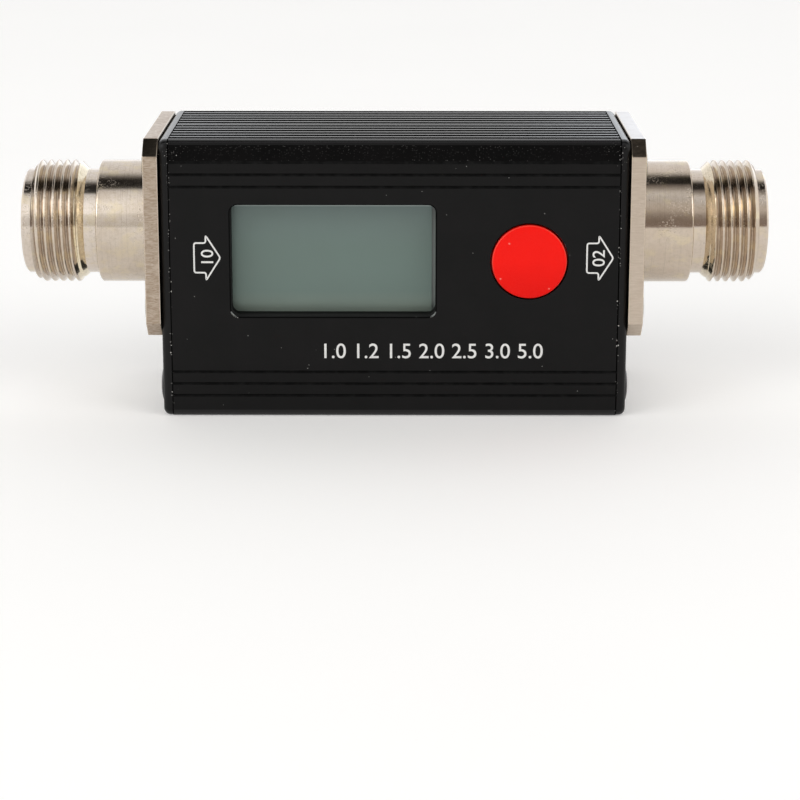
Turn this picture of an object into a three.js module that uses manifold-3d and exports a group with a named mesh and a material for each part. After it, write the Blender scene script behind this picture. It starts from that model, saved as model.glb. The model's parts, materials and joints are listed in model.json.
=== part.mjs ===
// Inline SWR meter: a split, ribbed aluminium box with a display and a button in its front,
// and a coaxial socket with a square flange on each end plate.
//
// Frame: X runs along the signal path from the input end (-X) to the output end (+X), Y runs
// from the front face to the back face, and Z is up. The origin is on the surface that the
// meter stands on, under the middle of the box. All sizes are in millimetres.

import * as THREE from "three";
import * as BufferGeometryUtils from "three/addons/utils/BufferGeometryUtils.js";
import Module from "manifold-3d";

const wasm = await Module();
wasm.setup();

// Driving dimensions

const box = { flangeOverhang: 0.5, belowFlange: 10.3, cornerRadius: 0.9 };
const wall = { face: 1.8, top: 2.4 };
const plate = { thickness: 1.2, cornerRadius: 1.2, edgeRadius: 0.8 };
const ribs = { perSide: 5, width: 0.65, depth: 0.8, centreHalf: 0.65, land: 1.3 };
const faceGroove = { perEdge: 3, first: 2.8, pitch: 1.55, width: 0.36, depth: 0.2 };
const seam = { chamfer: 0.15, tongueDrop: 1.05, tongueThickness: 0.7, tongueLength: 1.0, clearance: 0.1 };
const rail = { width: 0.7, height: 1.2, clearance: 0.15 };
const boss = { radius: 2.3, slot: 1.0 };

const flange = { size: 25.4, thickness: 1.9, corner: 2.0, holeInset: 3.57 };
const socket = {
  threadRadius: 7.9375,
  collarLength: 6.75,
  collarChamfer: 0.35,
  neckRadius: 6.78,
  neckLength: 1.65,
  taperLength: 0.75,
  threadLength: 5.95,
  threadChamfer: 0.55,
  lipLength: 1.3,
  lipChamfer: 0.25,
  spigotRadius: 5.6,
  spigotReach: 1.0,
  boreRadius: 4.3,
  boreChamfer: 0.3,
  boreDepth: 9.2,
  insulatorRadius: 3.5,
  insulatorReach: 0.8,
  clearance: 0.1,
};
const contact = {
  radius: 1.52,
  recess: 4.4,
  holeRadius: 0.83,
  holeDepth: 5.0,
  slotWidth: 0.35,
  slotLength: 4.0,
  slots: 4,
  tipChamfer: 0.2,
  tailRadius: 0.65,
  tailReach: 3.4,
};
const screw = {
  radius: 1.25,
  headRadius: 2.35,
  headDepth: 1.1,
  domeHeight: 0.45,
  domeSteps: 3,
  clearance: 0.12,
  length: 8.0,
  shortLength: 3.0,
  point: 0.4,
  recessWidth: 0.55,
  recessReach: 1.25,
  recessDepth: 0.7,
};

const display = {
  width: 25.8,
  height: 14.4,
  cornerRadius: 1.0,
  recess: 3.0,
  glassMarginSide: 1.4,
  glassMarginEnd: 0.9,
  glassThickness: 2.0,
  filmThickness: 0.2,
  filmOverlapLeft: 1.1,
  filmOverlapBottom: 0.55,
  filmMarginTop: 0.25,
  filmMarginRight: 0.45,
  stripHeight: 2.0,
  stripThickness: 1.4,
  stripInset: 0.5,
};
const frame = {
  wallSide: 1.0,
  wallEnd: 0.7,
  fromShellEnd: 5.05,
  fromBoss: 0.53,
  clearance: 0.2,
  hookWidth: 3.0,
  hookThickness: 0.8,
  barb: 0.4,
  barbLength: 0.5,
};
const button = {
  fromShellEnd: 11.3,
  fromFrame: 9.15,
  radius: 4.7,
  proud: 0.4,
  edge: 0.22,
  clearance: 0.25,
  rimLedge: 0.9,
  rimThickness: 0.6,
  rimGap: 0.05,
  web: 2.0,
  skin: 1.0,
  hubWall: 0.9,
  skirtWall: 0.8,
};
const tact = {
  width: 6.0,
  height: 3.5,
  stemRadius: 1.75,
  stemClearance: 0.15,
  wellDepth: 0.9,
  stemInset: 0.5,
  leg: 0.9,
};

const board = { thickness: 1.6, endGap: 1.35 };
const coupler = { endGap: 2.75, notchLength: 3.4, notchHeight: 8.4 };
const line = { width: 3.0, thickness: 0.25, clearance: 0.05, endGap: 3.75 };
const chip = { width: 10.0, thickness: 1.4, corner: 0.8, centre: -9.0, height: 12.5 };
const link = { width: 12.7, height: 2.5, pinShare: 0.48, centre: 0, fromTop: 6.2 };
const diode = { width: 2.9, height: 1.3, thickness: 1.0, offset: 9.0, above: 4.2 };
const load = { width: 6.3, height: 3.2, thickness: 0.6, fromBoardEnd: 9.0, above: 4.6 };
const battery = {
  width: 26.0,
  cornerRadius: 1.8,
  fromCoupler: 2.45,
  fromLowerBoss: 3.13,
  fromUpperBoss: 0.83,
};
const tape = { width: 20.0, height: 14.0, thickness: 0.2 };
const cellPlug = { width: 4.4, height: 6.0, thickness: 3.6, fromShellEnd: 6.25 };
const lead = { radius: 0.5, spacing: 2.2, sides: 8, steps: 14, gap: 0.3 };
const charge = {
  width: 7.6,
  height: 3.0,
  length: 6.2,
  level: 6.1,
  cornerRadius: 0.7,
  skin: 0.35,
  back: 0.5,
  inset: 0.1,
  clearance: 0.25,
  tongueWidth: 4.6,
  tongueThickness: 0.6,
  tongueInset: 0.9,
  tongueGap: 0.3,
};

const overrun = 1.0;
const weldDistance = 1e-5;
const roundSides = 40;
const holeSides = 24;
const screwSides = 16;
const cornerSteps = 5;

// Sizes and places that follow from the driving dimensions

const glassWidth = display.width + 2 * display.glassMarginSide;
const glassHeight = display.height + 2 * display.glassMarginEnd;
const frameWidth = glassWidth + 2 * (frame.clearance + frame.wallSide);
const frameHeight = glassHeight + 2 * (frame.clearance + frame.wallEnd);

const shellLength = frame.fromShellEnd + frameWidth + button.fromFrame + button.fromShellEnd;
const shellEnd = shellLength / 2;
const boxDepth = flange.size - 2 * box.flangeOverhang;
const boxHeight = flange.size + box.belowFlange;
const halfDepth = boxDepth / 2;
const innerDepth = halfDepth - wall.face;
const ribbedDepth = halfDepth - ribs.centreHalf - ribs.land;
const grooveWidth = (ribbedDepth - ribs.perSide * ribs.width) / (ribs.perSide + 1);
const axisHeight = boxHeight - flange.size / 2;
const holeOffset = flange.size / 2 - flange.holeInset;
const bossDrop = flange.holeInset;
const screwHole = screw.radius + screw.clearance;

const displayCentre = frame.fromShellEnd + frameWidth / 2 - shellEnd;
const buttonCentre = shellEnd - button.fromShellEnd;
const featureHeight = boxHeight - bossDrop - boss.radius - frame.fromBoss - frameHeight / 2;

const frontFace = -halfDepth;
const frontInner = frontFace + wall.face;
const displayFace = frontFace + display.recess;
const glassFront = displayFace + display.filmThickness;
const glassBack = glassFront + display.glassThickness;
const boardFront = glassBack + display.stripThickness;
const boardBack = boardFront + board.thickness;
const couplerFront = contact.tailRadius + line.clearance + line.thickness;
const couplerBack = couplerFront + board.thickness;
const boardFloor = wall.top + rail.clearance;
const boardCeiling = boxHeight - wall.top - rail.clearance;

const flangeOuter = plate.thickness + flange.thickness;
const socketLength =
  socket.collarLength + socket.neckLength + socket.taperLength + socket.threadLength + socket.lipLength;
const socketTip = flangeOuter + socketLength;

// Helpers for outlines and solids

const point = (x, y) => new THREE.Vector2(x, y);

function arc(centreX, centreY, radius, from, to, steps) {
  const points = [];
  for (let i = 0; i <= steps; i += 1) {
    const angle = from + ((to - from) * i) / steps;
    points.push(point(centreX + radius * Math.cos(angle), centreY + radius * Math.sin(angle)));
  }
  return points;
}

function roundedRectangle(centreX, centreY, width, height, radius) {
  const x = width / 2 - radius;
  const y = height / 2 - radius;
  const quarter = Math.PI / 2;
  return [
    ...arc(centreX + x, centreY + y, radius, 0, quarter, cornerSteps),
    ...arc(centreX - x, centreY + y, radius, quarter, 2 * quarter, cornerSteps),
    ...arc(centreX - x, centreY - y, radius, 2 * quarter, 3 * quarter, cornerSteps),
    ...arc(centreX + x, centreY - y, radius, 3 * quarter, 4 * quarter, cornerSteps),
  ];
}

function cutRectangle(width, height, corner) {
  const x = width / 2;
  const y = height / 2;
  return [
    point(x, y - corner),
    point(x - corner, y),
    point(corner - x, y),
    point(-x, y - corner),
    point(-x, corner - y),
    point(corner - x, -y),
    point(x - corner, -y),
    point(x, corner - y),
  ];
}

function circle(centreX, centreY, radius, sides) {
  return arc(centreX, centreY, radius, 0, 2 * Math.PI, sides).slice(0, sides);
}

function extrude(points, depth) {
  return new THREE.ExtrudeGeometry(new THREE.Shape(points), { depth, bevelEnabled: false });
}

// An outline in Y and Z, drawn out along X.
function alongX(points, from, to) {
  const turn = new THREE.Matrix4().makeBasis(
    new THREE.Vector3(0, 1, 0),
    new THREE.Vector3(0, 0, 1),
    new THREE.Vector3(1, 0, 0),
  );
  return extrude(points, to - from).applyMatrix4(turn).translate(from, 0, 0);
}

// An outline in X and Z, drawn out along Y.
function alongY(points, from, to) {
  return extrude(points, to - from).rotateX(Math.PI / 2).translate(0, to, 0);
}

// A profile of [axial place, radius] pairs, turned about the X axis.
function turnedX(profile, sides) {
  const points = profile.map(([along, radius]) => point(radius, along));
  return new THREE.LatheGeometry(points, sides).rotateZ(-Math.PI / 2);
}

// A profile of [axial place, radius] pairs, turned about the Y axis.
function turnedY(profile, sides) {
  return new THREE.LatheGeometry(profile.map(([along, radius]) => point(radius, along)), sides);
}

function block(x0, x1, y0, y1, z0, z1) {
  const geometry = new THREE.BoxGeometry(x1 - x0, y1 - y0, z1 - z0);
  return geometry.translate((x0 + x1) / 2, (y0 + y1) / 2, (z0 + z1) / 2);
}

function solid(geometry) {
  const bare = geometry.clone();
  bare.deleteAttribute("normal");
  bare.deleteAttribute("uv");
  const merged = BufferGeometryUtils.mergeVertices(bare, weldDistance);
  const index = Array.from(merged.index.array);
  const triangles = [];
  for (let i = 0; i < index.length; i += 3) {
    const [a, b, c] = index.slice(i, i + 3);
    if (a !== b && b !== c && c !== a) {
      triangles.push(a, b, c);
    }
  }
  return new wasm.Manifold(
    new wasm.Mesh({
      numProp: 3,
      vertProperties: new Float32Array(merged.attributes.position.array),
      triVerts: new Uint32Array(triangles),
    }),
  );
}

function geometryOf(manifold) {
  const mesh = manifold.getMesh();
  const geometry = new THREE.BufferGeometry();
  geometry.setAttribute("position", new THREE.BufferAttribute(new Float32Array(mesh.vertProperties), 3));
  geometry.setIndex(new THREE.BufferAttribute(new Uint32Array(mesh.triVerts), 1));
  const flat = geometry.toNonIndexed();
  flat.computeVertexNormals();
  return flat;
}

function cut(base, ...tools) {
  return geometryOf(tools.reduce((left, tool) => left.subtract(solid(tool)), solid(base)));
}

function join(base, ...others) {
  return geometryOf(others.reduce((whole, other) => whole.add(solid(other)), solid(base)));
}

function mesh(name, geometry, finish) {
  const piece = new THREE.Mesh(geometry, new THREE.MeshStandardMaterial(finish));
  piece.name = name;
  return piece;
}

// Finishes

const finishes = {
  anodised: { color: 0x1b1b1c, roughness: 0.5, metalness: 0.6 },
  plate: { color: 0x262627, roughness: 0.42, metalness: 0.5 },
  nickel: { color: 0xc3b6a6, roughness: 0.22, metalness: 1.0 },
  insulator: { color: 0xf2f1ec, roughness: 0.5, metalness: 0.0 },
  gold: { color: 0xd6b25e, roughness: 0.25, metalness: 1.0 },
  blackScrew: { color: 0x1a1a1b, roughness: 0.4, metalness: 0.7 },
  steelScrew: { color: 0xb9b4ac, roughness: 0.3, metalness: 1.0 },
  display: { color: 0x647370, roughness: 0.25, metalness: 0.0 },
  glass: { color: 0x8d9692, roughness: 0.12, metalness: 0.0 },
  blackPlastic: { color: 0x161616, roughness: 0.55, metalness: 0.0 },
  redPlastic: { color: 0xf22318, roughness: 0.35, metalness: 0.0 },
  rubber: { color: 0x3a3a3c, roughness: 0.8, metalness: 0.0 },
  circuitBoard: { color: 0x1c5a34, roughness: 0.45, metalness: 0.0 },
  copper: { color: 0xc98a5c, roughness: 0.3, metalness: 1.0 },
  whitePlastic: { color: 0xe9e6dc, roughness: 0.5, metalness: 0.0 },
  cellWrap: { color: 0xb9bcc0, roughness: 0.3, metalness: 0.6 },
  foam: { color: 0x2a2a2a, roughness: 0.9, metalness: 0.0 },
  redLead: { color: 0xb3201c, roughness: 0.5, metalness: 0.0 },
  blackLead: { color: 0x151515, roughness: 0.5, metalness: 0.0 },
  tin: { color: 0xc9c9c6, roughness: 0.3, metalness: 1.0 },
};

// The two halves of the extruded box. Their outlines are drawn as distances from the seam
// and drops from the top face, and the lower half of each outline mirrors the upper half.

function outerQuarter() {
  const points = [point(0, seam.chamfer), point(seam.chamfer, 0), point(ribs.centreHalf, 0)];
  let place = ribs.centreHalf;
  for (let i = 0; i <= ribs.perSide; i += 1) {
    points.push(point(place, ribs.depth));
    place += grooveWidth;
    points.push(point(place, ribs.depth), point(place, 0));
    if (i < ribs.perSide) {
      place += ribs.width;
      points.push(point(place, 0));
    }
  }
  const corner = halfDepth - box.cornerRadius;
  points.push(...arc(corner, box.cornerRadius, box.cornerRadius, -Math.PI / 2, 0, cornerSteps));
  for (let i = 0; i < faceGroove.perEdge; i += 1) {
    const drop = faceGroove.first + i * faceGroove.pitch;
    points.push(
      point(halfDepth, drop - faceGroove.width / 2),
      point(halfDepth - faceGroove.depth, drop),
      point(halfDepth, drop + faceGroove.width / 2),
    );
  }
  return points;
}

function innerQuarter(joint, slotFrom, slotTo) {
  const rails = [
    [slotFrom - rail.clearance - rail.width, slotFrom - rail.clearance],
    [slotTo + rail.clearance, slotTo + rail.clearance + rail.width],
  ];
  const points = [...joint, point(0, wall.top)];
  for (const [near, far] of rails) {
    points.push(
      point(near, wall.top),
      point(near, wall.top + rail.height),
      point(far, wall.top + rail.height),
      point(far, wall.top),
    );
  }
  points.push(point(innerDepth, wall.top));
  return points;
}

function tongue() {
  const low = seam.tongueDrop + seam.tongueThickness;
  return [
    point(0, seam.tongueDrop),
    point(-seam.tongueLength, seam.tongueDrop),
    point(-seam.tongueLength, low),
    point(0, low),
  ];
}

function tongueGroove() {
  const high = seam.tongueDrop - seam.clearance;
  const low = seam.tongueDrop + seam.tongueThickness + seam.clearance;
  const reach = seam.tongueLength + seam.clearance;
  return [point(0, high), point(reach, high), point(reach, low), point(0, low)];
}

function shell(side, joint, slotFrom, slotTo) {
  const outer = outerQuarter();
  const inner = innerQuarter(joint, slotFrom, slotTo);
  const up = ({ x, y }) => point(side * x, boxHeight - y);
  const down = ({ x, y }) => point(side * x, y);
  const outline = [
    ...outer.map(up),
    ...outer.map(down).reverse(),
    ...inner.map(down),
    ...inner.map(up).reverse(),
  ];
  let body = solid(alongX(outline, -shellEnd, shellEnd));
  for (const height of [bossDrop, boxHeight - bossDrop]) {
    const place = side * holeOffset;
    body = body.add(solid(alongX(circle(place, height, boss.radius, holeSides), -shellEnd, shellEnd)));
  }
  for (const height of [bossDrop, boxHeight - bossDrop]) {
    const place = side * holeOffset;
    const inward = height < boxHeight / 2 ? 1 : -1;
    const past = shellEnd + overrun;
    const drill = alongX(circle(place, height, screwHole, holeSides), -past, past);
    const slot = block(
      -past,
      past,
      0,
      boss.radius + overrun,
      -boss.slot / 2,
      boss.slot / 2,
    );
    slot.rotateX(Math.atan2(inward, -side)).translate(0, place, height);
    body = body.subtract(solid(drill)).subtract(solid(slot));
  }
  return geometryOf(body);
}

function frontShell() {
  const blank = shell(-1, tongue(), -boardBack, -boardFront);
  const from = frontFace - overrun;
  const to = frontInner + overrun;
  const window = roundedRectangle(
    displayCentre,
    featureHeight,
    display.width,
    display.height,
    display.cornerRadius,
  );
  const hole = circle(buttonCentre, featureHeight, button.radius + button.clearance, roundSides);
  const body = cut(blank, alongY(window, from, to), alongY(hole, from, to));
  return mesh("front_shell", body, finishes.anodised);
}

function rearShell() {
  return mesh("rear_shell", shell(1, tongueGroove(), couplerFront, couplerBack), finishes.anodised);
}

// The parts of one end, drawn about the end of the shells: X points out of the box, and
// zero is the inner face of the end plate. The height of the socket's axis is zero in Z.

function endPlate(name, hasCharging) {
  const outline = (shrink) =>
    roundedRectangle(
      0,
      boxHeight / 2 - axisHeight,
      boxDepth - 2 * shrink,
      boxHeight - 2 * shrink,
      plate.cornerRadius - shrink,
    );
  const rows = [{ x: 0, shrink: 0 }];
  for (let i = 0; i <= cornerSteps; i += 1) {
    const angle = (i / cornerSteps) * (Math.PI / 2);
    rows.push({
      x: plate.thickness - plate.edgeRadius * (1 - Math.sin(angle)),
      shrink: plate.edgeRadius * (1 - Math.cos(angle)),
    });
  }
  const rings = rows.map(({ x, shrink }) => outline(shrink).map((p) => new THREE.Vector3(x, p.x, p.y)));
  const body = skin(rings);
  const from = -overrun;
  const to = plate.thickness + overrun;
  const tools = [alongX(circle(0, 0, socket.spigotRadius + 2 * socket.clearance, roundSides), from, to)];
  for (const y of [-holeOffset, holeOffset]) {
    for (const z of [-holeOffset, holeOffset]) {
      tools.push(alongX(circle(y, z, screwHole, holeSides), from, to));
    }
    tools.push(countersink(plate.thickness, y, bossDrop - axisHeight));
  }
  if (hasCharging) {
    const opening = roundedRectangle(
      boardBack + charge.width / 2,
      charge.level - axisHeight,
      charge.width + 2 * charge.clearance,
      charge.height + 2 * charge.clearance,
      charge.cornerRadius + charge.clearance,
    );
    tools.push(alongX(opening, from, to));
  }
  return mesh(name, cut(body, ...tools), finishes.plate);
}

// A closed skin over rings of equal point counts, with a flat cap at each end.
function skin(rings) {
  const count = rings[0].length;
  const positions = rings.flat().flatMap((p) => [p.x, p.y, p.z]);
  const index = [];
  for (let row = 0; row + 1 < rings.length; row += 1) {
    for (let i = 0; i < count; i += 1) {
      const next = (i + 1) % count;
      const a = row * count + i;
      const b = row * count + next;
      index.push(a, b, b + count, a, b + count, a + count);
    }
  }
  const last = (rings.length - 1) * count;
  for (let i = 1; i + 1 < count; i += 1) {
    index.push(0, i + 1, i);
    index.push(last, last + i, last + i + 1);
  }
  const geometry = new THREE.BufferGeometry();
  geometry.setAttribute("position", new THREE.Float32BufferAttribute(positions, 3));
  geometry.setIndex(index);
  return geometry;
}

// The hole for one countersunk screw whose head is flush with the face at that X.
function countersink(face, y, z) {
  const seat = screw.headRadius + screw.clearance;
  const slope = (screw.headRadius - screw.radius) / screw.headDepth;
  const shape = turnedX(
    [
      [face - screw.length, 0],
      [face - screw.length, screwHole],
      [face - screw.headDepth, screwHole],
      [face, seat],
      [face + overrun, seat + slope * overrun],
      [face + overrun, 0],
    ],
    holeSides,
  );
  return shape.translate(0, y, z);
}

function socketBody(name) {
  const collarEnd = flangeOuter + socket.collarLength;
  const neckEnd = collarEnd + socket.neckLength;
  const taperEnd = neckEnd + socket.taperLength;
  const threadEnd = taperEnd + socket.threadLength;
  const bore = socket.boreRadius;
  const start = -socket.spigotReach;
  const barrel = turnedX(
    [
      [start, socket.insulatorRadius],
      [start, socket.spigotRadius],
      [plate.thickness + flange.thickness / 2, socket.spigotRadius],
      [plate.thickness + flange.thickness / 2, socket.threadRadius],
      [collarEnd - socket.collarChamfer, socket.threadRadius],
      [collarEnd, socket.threadRadius - socket.collarChamfer],
      [collarEnd, socket.neckRadius],
      [neckEnd, socket.neckRadius],
      [taperEnd, socket.threadRadius],
      [threadEnd - socket.threadChamfer, socket.threadRadius],
      [threadEnd, socket.threadRadius - socket.threadChamfer],
      [threadEnd, socket.neckRadius],
      [socketTip - socket.lipChamfer, socket.neckRadius],
      [socketTip, socket.neckRadius - socket.lipChamfer],
      [socketTip, bore + socket.boreChamfer],
      [socketTip - socket.boreChamfer, bore],
      [socketTip - socket.boreDepth, bore],
      [socketTip - socket.boreDepth, socket.insulatorRadius],
      [start, socket.insulatorRadius],
    ],
    roundSides,
  );
  const outline = cutRectangle(flange.size, flange.size, flange.corner);
  const square = alongX(outline, plate.thickness, flangeOuter);
  const middle = alongX(
    circle(0, 0, (socket.insulatorRadius + socket.spigotRadius) / 2, roundSides),
    0,
    flangeOuter + overrun,
  );
  const tools = [middle];
  for (const y of [-holeOffset, holeOffset]) {
    for (const z of [-holeOffset, holeOffset]) {
      tools.push(countersink(flangeOuter, y, z));
    }
  }
  const ring = cut(square, ...tools);
  return mesh(name, join(barrel, ring), finishes.nickel);
}

function insulator(name) {
  const outer = socket.insulatorRadius - socket.clearance;
  const inner = contact.radius + socket.clearance;
  const start = -socket.spigotReach - socket.insulatorReach;
  const end = socketTip - socket.boreDepth;
  const profile = [
    [start, inner],
    [start, outer],
    [end, outer],
    [end, inner],
    [start, inner],
  ];
  return mesh(name, turnedX(profile, roundSides), finishes.insulator);
}

function centreContact(name) {
  const start = -socket.spigotReach - socket.insulatorReach;
  const tip = socketTip - contact.recess;
  const pin = turnedX(
    [
      [start - contact.tailReach, 0],
      [start - contact.tailReach, contact.tailRadius],
      [start, contact.tailRadius],
      [start, contact.radius],
      [tip - contact.tipChamfer, contact.radius],
      [tip, contact.radius - contact.tipChamfer],
      [tip, contact.holeRadius],
      [tip - contact.holeDepth, contact.holeRadius],
      [tip - contact.holeDepth, 0],
    ],
    holeSides,
  );
  const slots = [];
  for (let i = 0; i < contact.slots / 2; i += 1) {
    const slot = block(
      tip - contact.slotLength,
      tip + overrun,
      -contact.radius - overrun,
      contact.radius + overrun,
      -contact.slotWidth / 2,
      contact.slotWidth / 2,
    );
    slots.push(slot.rotateX((2 * Math.PI * i) / contact.slots));
  }
  return mesh(name, cut(pin, ...slots), finishes.gold);
}

// A raised countersunk screw with a cross recess, its head flush with the face at X = 0.
function screwGeometry(length) {
  const profile = [
    [-length, 0],
    [-length, screw.radius - screw.point],
    [screw.point - length, screw.radius],
    [-screw.headDepth, screw.radius],
    [0, screw.headRadius],
  ];
  for (let i = 1; i <= screw.domeSteps; i += 1) {
    const angle = (i / screw.domeSteps) * (Math.PI / 2);
    profile.push([screw.domeHeight * Math.sin(angle), screw.headRadius * Math.cos(angle)]);
  }
  const blank = turnedX(profile, screwSides);
  const recess = [0, Math.PI / 2].map((angle) =>
    block(
      screw.domeHeight - screw.recessDepth,
      screw.domeHeight + overrun,
      -screw.recessReach,
      screw.recessReach,
      -screw.recessWidth / 2,
      screw.recessWidth / 2,
    ).rotateX(angle),
  );
  return cut(blank, ...recess);
}

function screwsOf(prefix, side) {
  const group = new THREE.Group();
  const long = screwGeometry(screw.length);
  const short = screwGeometry(screw.shortLength);
  for (const y of [-holeOffset, holeOffset]) {
    const face = side * y < 0 ? "front" : "rear";
    for (const [row, z, geometry] of [
      ["upper", holeOffset, long],
      ["lower", -holeOffset, short],
    ]) {
      const piece = mesh(`${prefix}_flange_screw_${face}_${row}`, geometry, finishes.steelScrew);
      piece.position.set(flangeOuter, y, z);
      group.add(piece);
    }
    const lower = mesh(`${prefix}_plate_screw_${face}`, long, finishes.blackScrew);
    lower.position.set(plate.thickness, y, bossDrop - axisHeight);
    group.add(lower);
  }
  return group;
}

function end(prefix, side) {
  const group = new THREE.Group();
  group.add(endPlate(`${prefix}_end_plate`, side > 0));
  group.add(socketBody(`${prefix}_socket_body`));
  group.add(insulator(`${prefix}_socket_insulator`));
  group.add(centreContact(`${prefix}_socket_contact`));
  group.add(screwsOf(prefix, side));
  group.rotation.z = side > 0 ? 0 : Math.PI;
  group.position.set(side * shellEnd, 0, axisHeight);
  return group;
}

// The display: its film, its glass, the frame that holds it on the board, and its two
// contact strips.

function displayParts() {
  const group = new THREE.Group();
  const left = displayCentre - display.width / 2;
  const right = displayCentre + display.width / 2;
  const low = featureHeight - display.height / 2;
  const high = featureHeight + display.height / 2;
  const film = block(
    left - display.filmOverlapLeft,
    right - display.filmMarginRight,
    displayFace,
    glassFront,
    low - display.filmOverlapBottom,
    high - display.filmMarginTop,
  );
  group.add(mesh("lcd_film", film, finishes.display));
  const halfGlass = glassWidth / 2;
  const halfHeight = glassHeight / 2;
  const glass = block(
    displayCentre - halfGlass,
    displayCentre + halfGlass,
    glassFront,
    glassBack,
    featureHeight - halfHeight,
    featureHeight + halfHeight,
  );
  group.add(mesh("lcd_glass", glass, finishes.glass));
  for (const [name, way] of [
    ["lcd_strip_upper", 1],
    ["lcd_strip_lower", -1],
  ]) {
    const centre = featureHeight + way * (halfHeight - display.stripInset - display.stripHeight / 2);
    const strip = block(
      displayCentre - halfGlass + display.stripInset,
      displayCentre + halfGlass - display.stripInset,
      glassBack,
      boardFront,
      centre - display.stripHeight / 2,
      centre + display.stripHeight / 2,
    );
    group.add(mesh(name, strip, finishes.rubber));
  }
  group.add(mesh("lcd_frame", frameGeometry(), finishes.blackPlastic));
  return group;
}

function hookPlaces() {
  return [-1, 1].map((way) => {
    const outer = displayCentre + (way * frameWidth) / 2;
    return { way, outer, inner: outer - way * frame.hookThickness };
  });
}

function frameGeometry() {
  const outer = roundedRectangle(
    displayCentre,
    featureHeight,
    frameWidth,
    frameHeight,
    display.cornerRadius,
  );
  const opening = roundedRectangle(
    displayCentre,
    featureHeight,
    display.width,
    display.height,
    display.cornerRadius,
  );
  const halfPocket = glassWidth / 2 + frame.clearance;
  const halfTall = glassHeight / 2 + frame.clearance;
  const pocket = block(
    displayCentre - halfPocket,
    displayCentre + halfPocket,
    displayFace,
    boardFront + overrun,
    featureHeight - halfTall,
    featureHeight + halfTall,
  );
  const ring = alongY(outer, frontInner, boardFront);
  const body = cut(ring, alongY(opening, frontInner - overrun, boardFront), pocket);
  const hooks = [];
  for (const { way, outer: edge, inner } of hookPlaces()) {
    const barbStart = boardBack + rail.clearance;
    const profile = [
      point(inner, boardFront - frame.hookThickness),
      point(edge, boardFront - frame.hookThickness),
      point(edge, barbStart),
      point(edge + way * frame.barb, barbStart),
      point(edge, barbStart + frame.barbLength),
      point(inner, barbStart + frame.barbLength),
    ];
    const half = frame.hookWidth / 2;
    hooks.push(extrude(profile, frame.hookWidth).translate(0, 0, featureHeight - half));
  }
  return join(body, ...hooks);
}

// The circuit boards and what they carry.

function mainBoard() {
  const half = shellEnd - board.endGap;
  const blank = block(-half, half, boardFront, boardBack, boardFloor, boardCeiling);
  const slots = hookPlaces().map(({ way, outer, inner }) => {
    const near = inner - way * frame.clearance;
    const far = outer + way * (frame.barb + frame.clearance);
    const halfSlot = frame.hookWidth / 2 + frame.clearance;
    return block(
      Math.min(near, far),
      Math.max(near, far),
      boardFront - overrun,
      boardBack + overrun,
      featureHeight - halfSlot,
      featureHeight + halfSlot,
    );
  });
  return mesh("main_board", cut(blank, ...slots), finishes.circuitBoard);
}

function couplerBoard() {
  const half = shellEnd - coupler.endGap;
  const outline = [
    point(-half, boardFloor),
    point(half - coupler.notchLength, boardFloor),
    point(half - coupler.notchLength, coupler.notchHeight),
    point(half, coupler.notchHeight),
    point(half, boardCeiling),
    point(-half, boardCeiling),
  ];
  return mesh("coupler_board", alongY(outline, couplerFront, couplerBack), finishes.circuitBoard);
}

function boardParts() {
  const group = new THREE.Group();
  const halfLine = shellEnd - line.endGap;
  const strip = block(
    -halfLine,
    halfLine,
    couplerFront - line.thickness,
    couplerFront,
    axisHeight - line.width / 2,
    axisHeight + line.width / 2,
  );
  group.add(mesh("coupler_line", strip, finishes.copper));

  const chipOutline = cutRectangle(chip.width, chip.width, chip.corner).map(({ x, y }) =>
    point(chip.centre + x, chip.height + y),
  );
  const chipBody = alongY(chipOutline, boardBack, boardBack + chip.thickness);
  group.add(mesh("microcontroller", chipBody, finishes.blackPlastic));

  const gap = couplerFront - boardBack;
  const meeting = boardBack + gap * link.pinShare;
  const linkTop = boxHeight - link.fromTop;
  const linkSpan = [link.centre - link.width / 2, link.centre + link.width / 2];
  const pinSide = block(...linkSpan, boardBack, meeting, linkTop, linkTop + link.height);
  const socketSide = block(...linkSpan, meeting, couplerFront, linkTop, linkTop + link.height);
  group.add(mesh("board_link_pins", pinSide, finishes.blackPlastic));
  group.add(mesh("board_link_socket", socketSide, finishes.blackPlastic));

  for (const [name, way] of [
    ["forward", -1],
    ["reverse", 1],
  ]) {
    const diodeX = way * diode.offset;
    const diodeZ = axisHeight + diode.above;
    const body = block(
      diodeX - diode.width / 2,
      diodeX + diode.width / 2,
      couplerBack,
      couplerBack + diode.thickness,
      diodeZ - diode.height / 2,
      diodeZ + diode.height / 2,
    );
    group.add(mesh(`${name}_detector_diode`, body, finishes.blackPlastic));
    const loadX = way * (shellEnd - coupler.endGap - load.fromBoardEnd);
    const loadZ = axisHeight + load.above;
    const resistor = block(
      loadX - load.width / 2,
      loadX + load.width / 2,
      couplerBack,
      couplerBack + load.thickness,
      loadZ - load.height / 2,
      loadZ + load.height / 2,
    );
    group.add(mesh(`${name}_load_resistor`, resistor, finishes.whitePlastic));
  }
  return group;
}

// The cell on its tape behind the coupler board, its socket and its two leads.

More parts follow.
